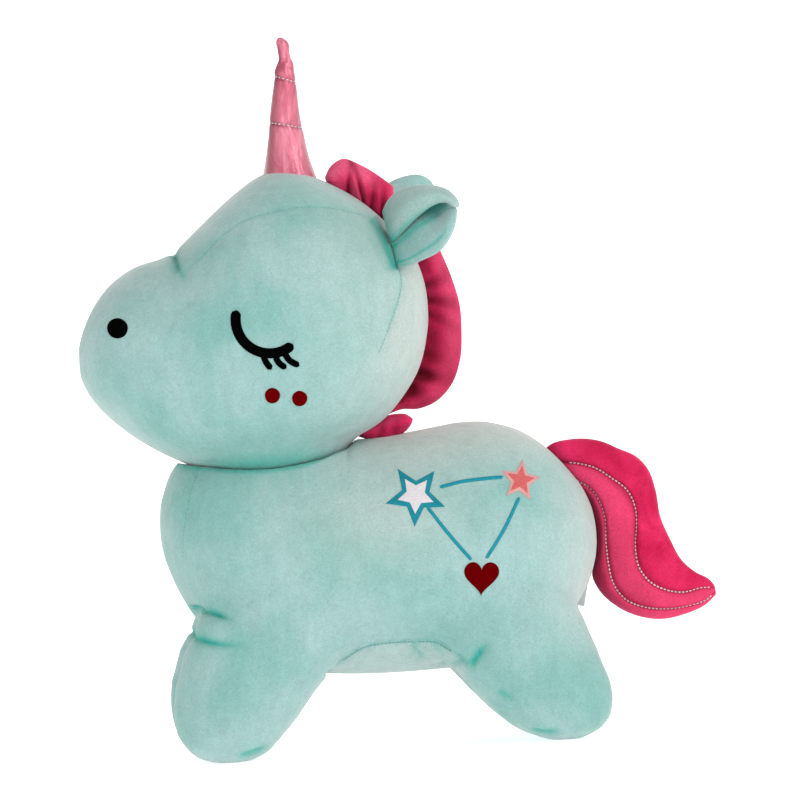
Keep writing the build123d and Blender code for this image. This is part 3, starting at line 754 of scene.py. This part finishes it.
def closePatch(flat, rise, skin, side, lay, around=False):
    # lifts a patch off the skin by rise and closes it with a copy of itself just under the skin
    rows, cols = flat.shape[:2]
    grid = drape(upright(flat.reshape(-1, 2)), skin, side).reshape(rows, cols, 3)
    more = 2 if around else 0  # the normals of a closed outline need its neighbours across the join
    wide = np.concatenate([grid[:, cols - more:], grid, grid[:, :more]], axis=1)
    normal = unit(np.cross(np.gradient(wide, axis=0), np.gradient(wide, axis=1)))[:, more:cols + more]
    normal = normal * np.sign(normal[..., 1:2] * side + 1e-9)
    top, bottom = grid + normal * rise[..., None], grid - normal * 0.5
    axis = 0 if around else 1
    rings, lays = (np.concatenate([a, np.flip(b, axis)], axis) for a, b in ((top, bottom), (lay, lay)))
    return rings, np.insert(lays, 2, 0.0, axis=-1)


def makeEmbroidery(name, patches, colour, body, node, pale=0):
    # the first patches, as many as pale says, are worked in the palest thread
    obj = makeTubes(name, [rings for rings, lay in patches])
    mark(obj, "lay", np.concatenate([tubePoints(lay) for rings, lay in patches]))
    if pale:
        light = [np.full(len(tubePoints(lay)), float(i < pale)) for i, (rings, lay) in enumerate(patches)]
        mark(obj, "pale", np.concatenate(light))
    dress(obj, threads[colour], body)
    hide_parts(node)
    return obj


def aroundPoint(x, z, reach, angle):
    return np.stack([x + reach * np.cos(angle), z + reach * np.sin(angle)], -1)


def circle(x, z, radius, wobble):
    angle = fullTurn(36)
    reach = radius * (1 + wobble * np.sin(3 * angle + 1) + wobble * np.sin(5 * angle))
    return aroundPoint(x, z, reach, angle)


def starOutline(x, z, radius, notch, turn, steps=4):
    # ten corners, tips and notches in turn, with steps points along each edge
    angle = np.radians(turn + 36 * np.arange(11))
    reach = np.where(np.arange(11) % 2 == 0, radius, radius * notch)
    corners = aroundPoint(x, z, reach, angle)
    t = np.arange(steps)[None, :, None] / steps
    return (corners[:-1, None] * (1 - t) + corners[1:, None] * t).reshape(-1, 2)


def heartOutline(x, z, size, turn):
    # x = 16 sin^3 a and z = 13 cos a - 5 cos 2a - 2 cos 3a - cos 4a, scaled to its size
    a = fullTurn(60)
    px = 16 * np.sin(a) ** 3 / 33
    pz = (13 * np.cos(a) - 5 * np.cos(2 * a) - 2 * np.cos(3 * a) - np.cos(4 * a)) / 31
    c, s = cosSin(turn)
    return np.stack([x + size * (c * px - s * pz), z + size * (s * px + c * pz)], -1)


face = {
    "rise": 1.0, "lidCentre": (-74.4, 261.6), "lidRadius": 20.0, "lidFrom": 161, "lidTo": 309, "lidWidth": 6.0,
    "lashes": [[(-79.6, 242.0), (-78.6, 237.6), (-75.3, 232.2)], [(-72.8, 241.5), (-70.9, 236.1), (-66.5, 232.2)],
               [(-67.5, 242.4), (-64.6, 237.1), (-58.8, 233.2)]],
    "lashWidth": 3.8, "nostril": (-163.8, 262.4), "nostrilRadius": 6.0,
    "dots": [(-75.6, 216.7), (-59.6, 213.9)], "dotRadius": 4.5,
}


def makeFace(side, word):
    ground = (headSkin, side, face["rise"])
    angle = np.radians(np.linspace(face["lidFrom"], face["lidTo"], 30))
    lid = aroundPoint(*face["lidCentre"], face["lidRadius"], angle)
    strokes = [embroiderStroke(lid, face["lidWidth"], *ground)]
    strokes += [embroiderStroke(np.array(lash), face["lashWidth"], *ground) for lash in face["lashes"]]
    makeEmbroidery(f"{word}_closed_eye", strokes, "black", "head", f"{word}_eye")
    spot = embroiderShape(circle(*face["nostril"], face["nostrilRadius"], 0.006), face["nostril"], 20, *ground)
    makeEmbroidery(f"{word}_nostril_patch", [spot], "black", "head", f"{word}_nostril")
    dots = [embroiderShape(circle(*dot, face["dotRadius"], 0.008), dot, 10, *ground) for dot in face["dots"]]
    makeEmbroidery(f"{word}_cheek_spots", dots, "red", "head", f"{word}_cheek_dots")


for side, word in sides:
    makeFace(side, word)
print("face embroidered")

flank = {
    "rise": 0.8, "notch": 0.46, "white": (5.7, 151.8), "whiteRadius": 12.0, "edgeRadius": 18.4, "whiteTurn": 47,
    "pink": (68.8, 156.2), "pinkRadius": 9.4, "rimRadius": 12.6, "pinkTurn": 77,
    "heart": (41.2, 101.6), "heartSize": 21.6, "heartTurn": -4.5, "linkWidth": 2.1,
    "links": [
        [(20.4, 155.7), (32.9, 158.0), (46.3, 158.9), (58.6, 159.1)],
        [(11.9, 144.6), (22.8, 128.6), (35.7, 111.7)],
        [(67.1, 146.5), (56.7, 128.8), (44.6, 112.0)],
    ],
}


def makeFlank():
    def star(word, radius, steps, turn, rise, notch=0.0, radial=False):
        outline = starOutline(*flank[word], radius, flank["notch"] + notch, flank[word + "Turn"], steps)
        return embroiderShape(outline, flank[word], turn, torsoSkin, -1, rise, radial)

    rise = flank["rise"]
    border = star("white", flank["edgeRadius"], 8, 0, rise, radial=True)
    makeEmbroidery("white_star_border", [border], "teal", "torso", "white_star_edge")
    fill = star("white", flank["whiteRadius"], 4, 75, rise + 0.35, notch=0.04)
    makeEmbroidery("white_star_fill", [fill], "white", "torso", "white_star")
    rim = star("pink", flank["rimRadius"], 6, 0, rise, radial=True)
    inner = star("pink", flank["pinkRadius"], 4, 60, rise + 0.3)
    makeEmbroidery("pink_star_patch", [rim, inner], "pink", "torso", "pink_star", pale=1)
    outline = heartOutline(*flank["heart"], flank["heartSize"], flank["heartTurn"])
    shape = embroiderShape(outline, flank["heart"], 15, torsoSkin, -1, rise)
    makeEmbroidery("heart_patch", [shape], "red", "torso", "red_heart")
    links = [embroiderStroke(np.array(link), flank["linkWidth"], torsoSkin, -1, rise * 0.8) for link in flank["links"]]
    makeEmbroidery("star_link_threads", links, "teal", "torso", "star_links")


makeFlank()
print("flank embroidered")


def stitchRow(landed, along, normal, pitch, dash, thick, lift):
    # short round stitches, each a capsule along the line: its radius follows sqrt(1 - t^4) along its length
    steps = pathSteps(landed)
    at = np.arange(pitch / 2, steps[-1], pitch)
    centre, t, n = (np.stack([np.interp(at, steps, part[:, i]) for i in range(3)], -1)
                    for part in (landed, along, normal))
    t, n = unit(t), unit(n)
    b = np.cross(t, n)
    run = np.array([-0.98, -0.75, 0.0, 0.75, 0.98])
    girth = thick / 2 * np.sqrt(1 - run**4 * 0.98)
    angle = fullTurn(6)
    c, s = np.cos(angle), np.sin(angle)
    ring = (run[:, None, None] * dash / 2 * t[:, None, None]
            + girth[:, None, None] * (c[:, None] * b[:, None, None] + s[:, None] * n[:, None, None]))
    return list(centre[:, None, None] + n[:, None, None] * lift + ring)


def makeStitches(name, rows, colour, slot, body, *nodes):
    obj = makeTubes(name, [tube for row in rows for tube in row])
    lay = np.zeros((len(obj.data.vertices), 3))
    lay[:, 0] = readPoints(obj) @ np.array([0.6, 0.5, 0.62])
    mark(obj, "lay", lay)
    dress(obj, threads[colour], body)
    if nodes:
        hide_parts(*nodes)
    return obj


seams = {
    # each seam: its line in X and Z, points along it, then pitch, length, thickness and lift of a stitch
    "torso": [
        (bellySeam[1:-1], 80, 2.3, 2.0, 0.75, -0.1),
        ([(-121.5, 173), (-125.5, 166), (-129.3, 153), (-133, 136), (-134, 124)], 60, 2.6, 2.3, 0.5, -0.15),
    ],
    "head": [
        ([(-122, 293.4), *crownSeam[1:-1]], 140, 2.6, 2.3, 0.5, -0.15),
        ([(5.8, 286), *napeSeam[1:-1], (-11, 237)], 60, 2.6, 2.3, 0.55, -0.12),
    ],
}


def makeSeamStitches(word, skin):
    rows = []
    for side in (-1, 1):
        for line, count, *stitch in seams[word]:
            rows.append(stitchRow(*drapeFrames(upright(smoothLine(line, count)), skin, side), *stitch))
    makeStitches(f"{word}_seam_stitches", rows, "seam", "mint_plush", word)


makeSeamStitches("torso", torsoSkin)
makeSeamStitches("head", headSkin)
print("seams stitched")


# Horn

horn = {
    # height, middle along X, radius
    "profile": [
        (333, -53.8, 17.4), (340, -54.2, 17.4), (345, -54.5, 16.2), (349, -54.6, 15.2), (356, -54.7, 13.5),
        (364.4, -54.7, 11.8), (371, -54.7, 10.7), (378.8, -54.8, 9.5), (386, -54.5, 8.7), (393.2, -54.0, 7.9),
        (400, -53.5, 7.0), (407, -53.0, 6.1), (411.2, -53.0, 5.7), (414.5, -52.6, 4.7), (418.4, -52.1, 3.5),
        (421, -52.3, 3.3), (423.5, -52.6, 3.5), (426.8, -53.4, 3.5), (429.4, -54.1, 2.4), (430.6, -54.2, 1.2),
    ],
    # height of each stitched band, and its rise for each mm towards the back
    "bands": [(377.6, -0.21875), (405.2, -0.3325)], "pitch": 2.6, "dash": 1.6, "thick": 0.75,
    "start": (-0.054, 0, 0.347), "end": (-0.054, 0, 0.366),
}


def hornRadius(z, angle, radius):
    # the round cover drawn in under each slanted stitch band, with shallow folds that run up from the bands
    folds = np.zeros_like(z)
    pinch = np.zeros_like(z)
    for height, slope in horn["bands"]:
        gap = z - height - slope * radius * np.cos(angle)
        pinch += 0.45 * bell(gap, 1.3)
        folds += bell(gap, 8) * (0.4 * np.sin(5 * angle + 0.4 * z / 10) + 0.25 * np.sin(9 * angle + 1.7))
    tip = smoothstep(408, 416, z) * (0.35 * np.sin(3 * angle + z / 2.6) + 0.25 * np.sin(5 * angle - z / 1.9))
    base = smoothstep(364, 346, z) * (0.3 * np.sin(5 * angle + 0.6) + 0.2 * np.sin(9 * angle))
    return radius - pinch + folds * 0.6 + tip * np.minimum(radius / 4, 1) + base, pinch


def hornLine(z):
    # the horn's middle along X and its radius at each height
    table = np.array(horn["profile"], float)
    return cubicThrough(table[:, 0], table[:, 1:], z).T


def makeHorn():
    z = np.linspace(horn["profile"][0][0], horn["profile"][-1][0], 150)
    middle, radius = hornLine(z)
    zz, aa = np.meshgrid(z, fullTurn(72), indexing="ij")
    reach, pinch = hornRadius(zz, aa, radius[:, None] + 0 * aa)
    reach = np.maximum(reach, 0.4)
    flat = 1 - 0.35 * smoothstep(406, 418, zz)
    rings = np.stack([middle[:, None] + reach * np.cos(aa), reach * np.sin(aa) * flat, zz], -1)
    obj = makeTubes("horn_skin", [rings])
    # painted shade: the cover is darker down its front and its back, and in the pinch under each stitch band
    shaded = 0.95 * smoothstep(0.25, 0.95, -np.cos(aa)) + 0.45 * smoothstep(0.6, 1.0, np.cos(aa))
    mark(obj, "paintedShade", np.r_[np.clip((pinch * 0.9 + shaded).ravel(), 0, 1), 0, 0])
    dress(obj, hornLeather)
    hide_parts("horn_cover", "horn_stuffing")
    rows, turn = [], np.linspace(0, 2 * np.pi, 90)
    out = unit(np.stack([np.cos(turn), np.sin(turn), 0 * turn + 0.1], -1))
    for height, slope in horn["bands"]:
        level = height + slope * hornLine(height + 0 * turn)[1] * np.cos(turn)
        middle, radius = hornLine(level)
        reach = hornRadius(level, turn, radius)[0]
        ring = np.stack([middle + reach * np.cos(turn), reach * np.sin(turn), level], -1)
        rows.append(stitchRow(ring, unit(np.gradient(ring, axis=0)), out, horn["pitch"], horn["dash"],
                              horn["thick"], 0.25))
    makeStitches("horn_band_stitches", rows, "white", "white_thread", "horn", "horn_stitches")
    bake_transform(obj)


makeHorn()
print("horn made")


# Ears

ear = {
    "seamTop": (-3, -18, 319), "seamFoot": (6, -39, 287), "out": (0.86, -0.38, 0.33), "perk": 8.0, "thick": 3.6,
    # lines from the seam to the tip, each point X, Z and how far it stands towards the open side
    "lines": [
        [(6.8, 288.4, 1), (12, 288.6, 2), (20, 291.3, 3.5), (32.6, 297.3, 5), (38.6, 305, 5.5), (42.6, 314, 5.5),
         (43.8, 320.5, 5.5)],
        [(6.2, 293, 2), (13, 294.5, 3.5), (21, 299, 5), (31, 305, 6), (37, 311, 6), (41, 317, 6),
         (43.4, 320.8, 5.7)],
        [(5.2, 300, 1.5), (12, 305.5, 3), (20, 311.5, 4), (28.5, 315.5, 1), (34.5, 318.5, -1.5), (39.5, 320.5, 2),
         (43, 321.2, 5)],
        [(3, 309, 0), (9.5, 318, 0), (17.5, 325, 0), (27, 328.5, -1), (34, 328, -1), (39.5, 325, 1.5),
         (42.6, 322, 4.5)],
        [(1.7, 320.4, 1), (5, 327, 2), (12, 333.2, 3), (22, 335.2, 3.5), (31, 334.2, 4), (38.4, 331.3, 4.5),
         (42.8, 326, 5), (43.8, 321.6, 5.5)],
        [(2.6, 312.5, 4), (7, 319, 8), (14, 326, 11), (23, 330, 12), (31.5, 330.5, 11.5), (38, 328, 9.5),
         (41.8, 324.5, 7.5), (43.4, 321.6, 6)],
        [(4.9, 303.8, 4.5), (13, 311.2, 7.6), (21, 317.8, 8.4), (28.8, 323, 8.2), (34.5, 325.6, 8),
         (38.5, 325.9, 7.5), (41.5, 323.8, 6.8), (43.2, 321.4, 6)],
    ],
    "nudge": (-1.7, -0.9), "lift": 19.0, "bend": 12,
    "shares": [0.0, 0.13, 0.30, 0.45, 0.60, 0.80, 1.0],
}


def turned(points, origin, axis, degrees):
    # Rodrigues: v cos a + (k x v) sin a + k (k . v)(1 - cos a)
    k, v = unit(np.asarray(axis, float)), points - origin
    c, s = cosSin(degrees)
    return origin + v * c + np.cross(k, v) * s + k * (v @ k)[..., None] * (1 - c)


def makeEar(side, word):
    top, foot, out = [np.array(ear[key], float) for key in ("seamTop", "seamFoot", "out")]
    up = unit(top - foot)
    out = unit(out - up * (out @ up))
    facing = np.cross(out, up)
    lines = np.stack([smoothLine(line, 44) for line in ear["lines"]])
    grid = np.moveaxis(cubicThrough(ear["shares"], lines, np.linspace(0, 1, 60)), 0, 1)
    px, pz, stand = np.moveaxis(grid, -1, 0)
    px, pz = px + ear["nudge"][0], pz + ear["nudge"][1]
    middle = (top + foot) / 2
    plane = middle[1] - (facing[0] * (px - middle[0]) + facing[2] * (pz - middle[2])) / facing[1]
    mirror = np.array([1, -side, 1])
    points = np.stack([px, plane + stand / facing[1], pz], -1) * mirror
    if side > 0:  # the far ear is perked up, so that its tip shows over the head
        points = turned(points, foot * mirror, (top - foot) * mirror, ear["perk"])
        points = turned(points, middle * mirror, facing * mirror, -ear["lift"])
    rows, cols = points.shape[:2]
    obj = makePiece(f"{word}_ear_skin", points.reshape(-1, 3), sheetFaces(rows, cols))
    v = np.linspace(0, 1, cols)[None] + 0 * px
    u = np.linspace(0, 1, rows)[:, None] + 0 * px
    # painted shade in the ear's crease and cup, along its seam, at its root and towards its rim
    line = 0.75 * bell(v - 0.29, 0.026) * smoothstep(1.0, 0.93, u)
    cup = 0.8 * bell(v - 0.36, 0.08) * smoothstep(0.45, 0.65, u) * smoothstep(0.97, 0.85, u)
    seam = bell(v - 0.085, 0.018) * smoothstep(0.8, 0.6, u)
    root, rim = smoothstep(0.14, 0.0, u), smoothstep(0.93, 1.0, v)
    paintedShade = 0.95 * np.maximum(line, cup) + 0.7 * seam + 0.6 * root + 0.4 * rim
    mark(obj, "paintedShade", np.clip(paintedShade, 0, 1).ravel())
    mark(obj, "pale", (0.35 * smoothstep(0.55, 0.75, v) * (1 - rim)).ravel())
    thicken(obj, ear["thick"], even=True)
    soften(obj, 3)
    subdivide(obj, 1)
    dress(obj, mintPlush)
    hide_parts(f"{word}_ear_outer", f"{word}_ear_lining")
    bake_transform(obj)


for side, word in sides:
    makeEar(side, word)
print("ears folded")


# Mane

def ruffle(name, form, body, node):
    # a flattened tube from a sewn line to an outer fold: across it, share = (1 - cos a) / 2 and half thickness ~ sin a
    rows, cols = form["rows"], 56
    seam, edge = smoothLine(form["seam"], rows), smoothLine(form["edge"], rows)
    u = np.linspace(0, 1, rows)[:, None]
    a = fullTurn(cols)[None]
    share = (1 - np.cos(a)) / 2
    full = np.sqrt(np.clip(1 - (2 * u - 1) ** 10, 0.05, 1))
    half = (form["root"] + (form["half"] - form["root"]) * smoothstep(0, 0.55, share)) * full
    pleats = np.zeros((rows, cols))
    for at, size, width, lean in form["pleats"]:
        spot = at + lean * share
        pleats = pleats + 1.6 * size * bell(u - spot, width * (1 + 1.4 * share)) * (1 - 0.65 * share)
    sway = form["sway"] * np.sin(2 * np.pi * form["waves"] * u + form["phase"]) * share**1.3
    thick = np.sin(a) * half - np.sign(np.sin(a)) * pleats * np.abs(np.sin(a)) ** 0.6
    bow = form["bow"] * np.sin(np.pi * share) * np.sin(2 * np.pi * form["waves"] * 1.7 * u)
    x = seam[:, None, 0] * (1 - share) + edge[:, None, 0] * share
    z = seam[:, None, 1] * (1 - share) + edge[:, None, 1] * share
    rings = np.stack([x + 0 * a, thick + sway + bow, z + 0 * a], -1)
    obj = makeTubes(name, [rings])
    # painted shade in the pleats, along the sewn root and low down near the seam
    folds = np.clip(pleats / 3.4, 0, 1) * 0.62 + 0.45 * smoothstep(0.16, 0.0, share)
    folds = folds + form["lowShade"] * smoothstep(0.42, 0.75, u) * smoothstep(0.8, 0.3, share)
    mark(obj, "paintedShade", np.r_[np.clip(folds, 0, 1).ravel(), 0.5, 0.5])
    # painted highlight on the pleats that bulge out and towards the outer fold near the top
    brushedAndLit = form["edgeHighlight"] * smoothstep(0.35, 0.8, share) * smoothstep(1.0, 0.5, u)
    mark(obj, "pale", np.r_[np.clip(0.6 * np.clip(-pleats / 3, 0, 1) + brushedAndLit, 0, 1).ravel(), 0, 0])
    subdivide(obj, 1)
    dress(obj, magentaPlush, body)
    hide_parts(node)


forelock = {
    "seam": [(-31, 338), (-24, 335), (-17, 331), (-9, 325), (-2, 319), (6, 311)],
    "edge": [(-33, 345), (-29, 351.5), (-22, 355.5), (-11, 351), (-2, 345), (8, 337)],
    "rows": 90, "root": 3.2, "half": 7.2, "sway": 2.6, "waves": 1.1, "phase": 0.4, "bow": 0.8,
    "lowShade": 0.1, "edgeHighlight": 0.75,
    "pleats": [(0.14, -1.4, 0.08, 0.0), (0.27, 3.4, 0.025, 0.14), (0.42, -1.6, 0.08, 0.0), (0.52, 3.6, 0.025, -0.10),
               (0.62, 2.0, 0.03, 0.12), (0.80, 2.6, 0.03, 0.06)],
}
backRuffle = {
    "seam": [(0, 316), (10, 302), (18, 288), (20, 270), (19, 253), (14, 237), (6, 222), (-4, 210), (-13, 202),
             (-19, 196.5)],
    "edge": [(12, 333), (24, 318), (33, 298), (39.5, 279), (43, 262), (43, 248), (41, 230), (35, 215.6), (25, 206),
             (14, 202.3), (4, 202.6), (-5, 199.8), (-13, 196.5), (-20, 193)],
    "rows": 190, "root": 3.6, "half": 7.4, "sway": 3.0, "waves": 1.3, "phase": 1.0, "bow": 1.0,
    "lowShade": 0.7, "edgeHighlight": 0.45,
    "pleats": [(0.10, 1.8, 0.03, 0.02), (0.22, 1.2, 0.03, -0.02), (0.335, 2.6, 0.016, -0.03), (0.385, 3.2, 0.016, 0.03),
               (0.44, 2.2, 0.018, 0.06), (0.53, 1.4, 0.03, 0.05), (0.60, 1.6, 0.02, 0.03), (0.70, 3.4, 0.016, -0.03),
               (0.76, 2.4, 0.02, 0.02), (0.84, 1.6, 0.02, 0.0)],
}
curl = {
    "seam": [(-23, 188), (-17, 185.8), (-9, 184.6), (0, 186.5), (6, 189.8), (9, 193)],
    "edge": [(-23, 189.5), (-17, 194.5), (-9, 198.6), (0, 200.3), (6.5, 199.6), (10.5, 196.6)],
    "rows": 60, "root": 6.0, "half": 8.0, "sway": 0.8, "waves": 1.0, "phase": 0.0, "bow": 0.0,
    "lowShade": 0.0, "edgeHighlight": 0.3, "pleats": [(0.35, 1.4, 0.05, 0.1), (0.62, 1.0, 0.05, 0.05)],
}
ruffle("forelock_ruffle", forelock, "head", "mane_forelock")
ruffle("back_ruffle", backRuffle, "head", "mane_back_ruffle")
ruffle("lower_curl", curl, "torso", "mane_curl")
print("mane gathered")


# Tail

tail = {
    # four lines from the root to the tip: outer edge, two topstitched lines and inner edge
    "outer": [(87, 172), (92, 176), (103, 178.3), (113, 178.2), (123, 176), (133, 171), (143, 166), (150, 158),
             (154, 145), (156, 128), (161, 114), (167, 101), (175, 93), (182.5, 88.3), (185.5, 84.5)],
    "first": [(93, 167), (99, 164.5), (107, 163.2), (117, 160), (127, 153), (136, 145), (140, 135), (140, 122),
             (138.5, 111), (140, 98), (146, 89), (154, 84), (166, 81.3), (177, 83.2), (185.8, 83)],
    "second": [(99, 160), (107, 152.5), (114, 147.5), (119, 139), (121.5, 128), (121, 116), (121.5, 103), (124, 89),
              (130.5, 79.5), (140, 74.5), (154, 72), (169, 73), (180, 76), (186, 81)],
    "inner": [(104, 156), (108.8, 148.5), (112.5, 140), (114.9, 129), (115.6, 116), (114, 104), (111.8, 95),
             (115, 86.5), (126, 75), (140, 68), (153, 65.8), (166, 67.8), (179, 72.6), (186.3, 78.5)],
    "puff": (5.2, 4.6, 4.6), "valley": 5.2, "puckers": 17, "pitch": 2.3, "dash": 1.6, "thick": 1.0,
    "start": (0.100, 0, 0.160), "end": (0.116, 0, 0.168),
}


def makeTail():
    rows, each = 110, 15
    lines = np.stack([smoothLine(tail[key], rows) for key in ("outer", "first", "second", "inner")])
    u = np.linspace(0, 1, rows)[:, None]
    slim = np.sqrt(np.clip(1 - (2 * u - 1) ** 6, 0.04, 1)) * (1 - 0.35 * smoothstep(0.6, 1, u))
    rise = [0.0, tail["valley"], tail["valley"], 0.0]
    spots, heights, valleys = [], [], []
    for i in range(3):
        t = np.linspace(0, 1, each, endpoint=i == 2)[None]
        spots.append(lines[i][:, None] * (1 - t[..., None]) + lines[i + 1][:, None] * t[..., None])
        # between two seams the cloth stands up as puff * sqrt(4 t (1 - t)), puckered along the seams
        arch = np.sqrt(np.clip(4 * t * (1 - t), 0, 1))
        pucker = 1 + 0.10 * np.sin(2 * np.pi * tail["puckers"] * u + 1.3 * i) * (1 - arch)
        bulge = arch**0.85 * tail["puff"][i] * pucker
        heights.append((rise[i] * (1 - t) + rise[i + 1] * t + bulge) * slim)
        seamGap = np.minimum(t if i else 9, 1 - t if i < 2 else 9)
        valleys.append(bell(seamGap, 0.11) + 0 * u)
    spot, height, valley = (np.concatenate(parts, axis=1) for parts in (spots, heights, valleys))
    near = np.stack([spot[..., 0], -height, spot[..., 1]], -1)
    away = np.stack([spot[..., 0], height, spot[..., 1]], -1)[:, -2:0:-1]
    obj = makeTubes("tail_skin", [np.concatenate([near, away], axis=1)])
    both = np.concatenate([valley, valley[:, -2:0:-1]], axis=1)
    across = np.linspace(0, 1, spot.shape[1])
    share = np.r_[across, across[-2:0:-1]][None]  # from the outer edge to the inner one and back
    # painted shadow along the inner edge near the rump, and painted shade at the root and in the stitched valleys
    inner = 0.75 * smoothstep(0.62, 0.9, share) * smoothstep(0.62, 0.4, u)
    paintedShade = 0.4 * both + 0.5 * smoothstep(0.10, 0.0, u) + inner
    mark(obj, "paintedShade", np.r_[np.clip(paintedShade, 0, 1).ravel(), 0.5, 0.3])
    middle = smoothstep(0.32, 0.37, share) * 0.3  # inside the first stitched line the pile is brushed paler
    mark(obj, "pale", np.r_[(middle * (1 - 0.6 * both)).ravel(), 0, 0])
    subdivide(obj, 1)
    dress(obj, magentaPlush)
    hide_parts("tail_left_panel", "tail_right_panel", "tail_stuffing")
    stitchRows = []
    for side in (-1, 1):
        for line in lines[1:3]:
            stitchRows.append(stitchRow(*drapeFrames(upright(line)[7:-3], obj, side), tail["pitch"], tail["dash"],
                                        tail["thick"], 0.3))
    stitches = makeStitches("tail_topstitch", stitchRows, "white", "white_thread", None, "tail_stitches")
    for piece in (obj, stitches):
        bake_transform(piece)


makeTail()
print("tail quilted")


# Label

label = {"height": 18.0, "reach": 8.0, "tuck": 2.5, "open": 0.55, "curl": 1.1, "root": (102.5, 87.0), "lean": 13.0,
         "ply": 0.45}


def makeLabel():
    # a folded ribbon: out from the seam, round the fold and back, with a slight curl towards its fold
    t = np.linspace(0, 1, 60)
    loop = 2 * np.pi * t
    out = label["reach"] / 2 * (1 - np.cos(loop)) - label["tuck"]
    gap = label["open"] * np.sin(loop) + 0.05 * np.sin(2 * loop)
    up = np.linspace(-0.5, 0.5, 24) * label["height"]
    o, h = np.meshgrid(out, up, indexing="ij")
    g = gap[:, None] + 0 * h
    curlOut = label["curl"] * smoothstep(0, label["reach"], o) ** 2 * np.sin(h / 5.0 + 0.8)
    c, s = cosSin(label["lean"])
    x = label["root"][0] + o * c + h * s
    z = label["root"][1] - o * s + h * c
    rings = np.stack([x, g + curlOut, z], -1)
    obj = makePiece("blank_label", rings.reshape(-1, 3), sheetFaces(*h.shape))
    thicken(obj, label["ply"])
    dress(obj, satin, "label")
    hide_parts("label")


makeLabel()
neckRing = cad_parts["neck_thread"]
neckRing.data.materials.clear()
neckRing.data.materials.append(threads["seam"])
print("label and neck thread done")


# Floor, light and camera

stage = {"flat": 8.0, "far": 11.0, "high": 6.0, "colour": tint(250, 250, 250), "glow": 0.56, "world": 0.4,
         "lampTone": (1.0, 0.955, 0.93), "around": 64}


def makeStage():
    # a round floor whose edge sweeps up: z = high * (1 - cos a), r = flat + (far - flat) * sin a
    turn, rise = fullTurn(stage["around"]), np.linspace(0, np.pi / 2, 24)
    sweep = stage["flat"] + (stage["far"] - stage["flat"]) * np.sin(rise[1:])
    r = np.r_[0.02, np.linspace(0.5, stage["flat"], 8), sweep]
    z = np.r_[np.zeros(9), stage["high"] * (1 - np.cos(rise[1:]))]
    grid = np.stack([r[:, None] * np.cos(turn), r[:, None] * np.sin(turn), z[:, None] + 0 * turn], -1) / mm
    ids = np.arange(grid.shape[0] * stage["around"]).reshape(-1, stage["around"])
    side = np.roll(ids, -1, axis=1)
    quads = np.stack([ids[:-1], ids[1:], side[1:], side[:-1]], -1).reshape(-1, 4).tolist()
    mesh = bpy.data.meshes.new("floor")
    mesh.from_pydata((grid.reshape(-1, 3) * mm).tolist(), [], [*quads, ids[0].tolist()])
    mesh.shade_smooth()
    obj = bpy.data.objects.new("floor", mesh)
    scene.collection.objects.link(obj)
    look = {"Base Color": stage["colour"], "Roughness": 0.95, "Specular IOR Level": 0.0,
            "Emission Color": (1, 1, 1, 1), "Emission Strength": stage["glow"]}
    paint = startMaterial("paleFloor", look)[0]
    obj.data.materials.append(paint)


makeStage()
world = bpy.data.worlds.new("studio")
scene.world = world
world.use_nodes = True
world.node_tree.nodes["Background"].inputs["Color"].default_value = (1, 1, 1, 1)
world.node_tree.nodes["Background"].inputs["Strength"].default_value = stage["world"]

lamps = {
    # place, aimed at, size, watts
    "key": ((1.4, -1.5, 1.7), (0, 0, 0.2), 1.1, 26),
    "fill": ((-1.7, -1.3, 0.8), (0, 0, 0.2), 1.4, 4),
    "back": ((0.9, 1.5, 1.8), (0, 0, 0.25), 1.2, 16),
}
for name, (place, aim, size, watts) in lamps.items():
    lamp = bpy.data.lights.new(name, "AREA")
    lamp.size, lamp.energy, lamp.color = size, watts, stage["lampTone"]
    obj = bpy.data.objects.new(name, lamp)
    obj.location = place
    obj.rotation_mode = "QUATERNION"
    obj.rotation_quaternion = (Vector(aim) - Vector(place)).to_track_quat("-Z", "Y")
    scene.collection.objects.link(obj)

shot = {"azimuth": -3.0, "elevation": 0.5, "roll": 3.8, "distance": 4.0, "across": 0.4815, "aim": (0.0033, 0.0, 0.2084)}
azimuth, elevation, roll = (math.radians(shot[key]) for key in ("azimuth", "elevation", "roll"))
back = Vector((math.sin(azimuth) * math.cos(elevation), -math.cos(azimuth) * math.cos(elevation), math.sin(elevation)))
right = Vector((0, 0, 1)).cross(back).normalized()
up = back.cross(right)
tilted = right * math.cos(roll) - up * math.sin(roll)
tiltedUp = right * math.sin(roll) + up * math.cos(roll)
camera = bpy.data.objects.new("camera", bpy.data.cameras.new("camera"))
camera.data.sensor_width = 36.0
camera.data.lens = camera.data.sensor_width * shot["distance"] / shot["across"]
turn = Matrix((tilted, tiltedUp, back)).transposed()
camera.matrix_world = Matrix.Translation(Vector(shot["aim"]) + back * shot["distance"]) @ turn.to_4x4()
scene.collection.objects.link(camera)
scene.camera = camera
print("stage lit")
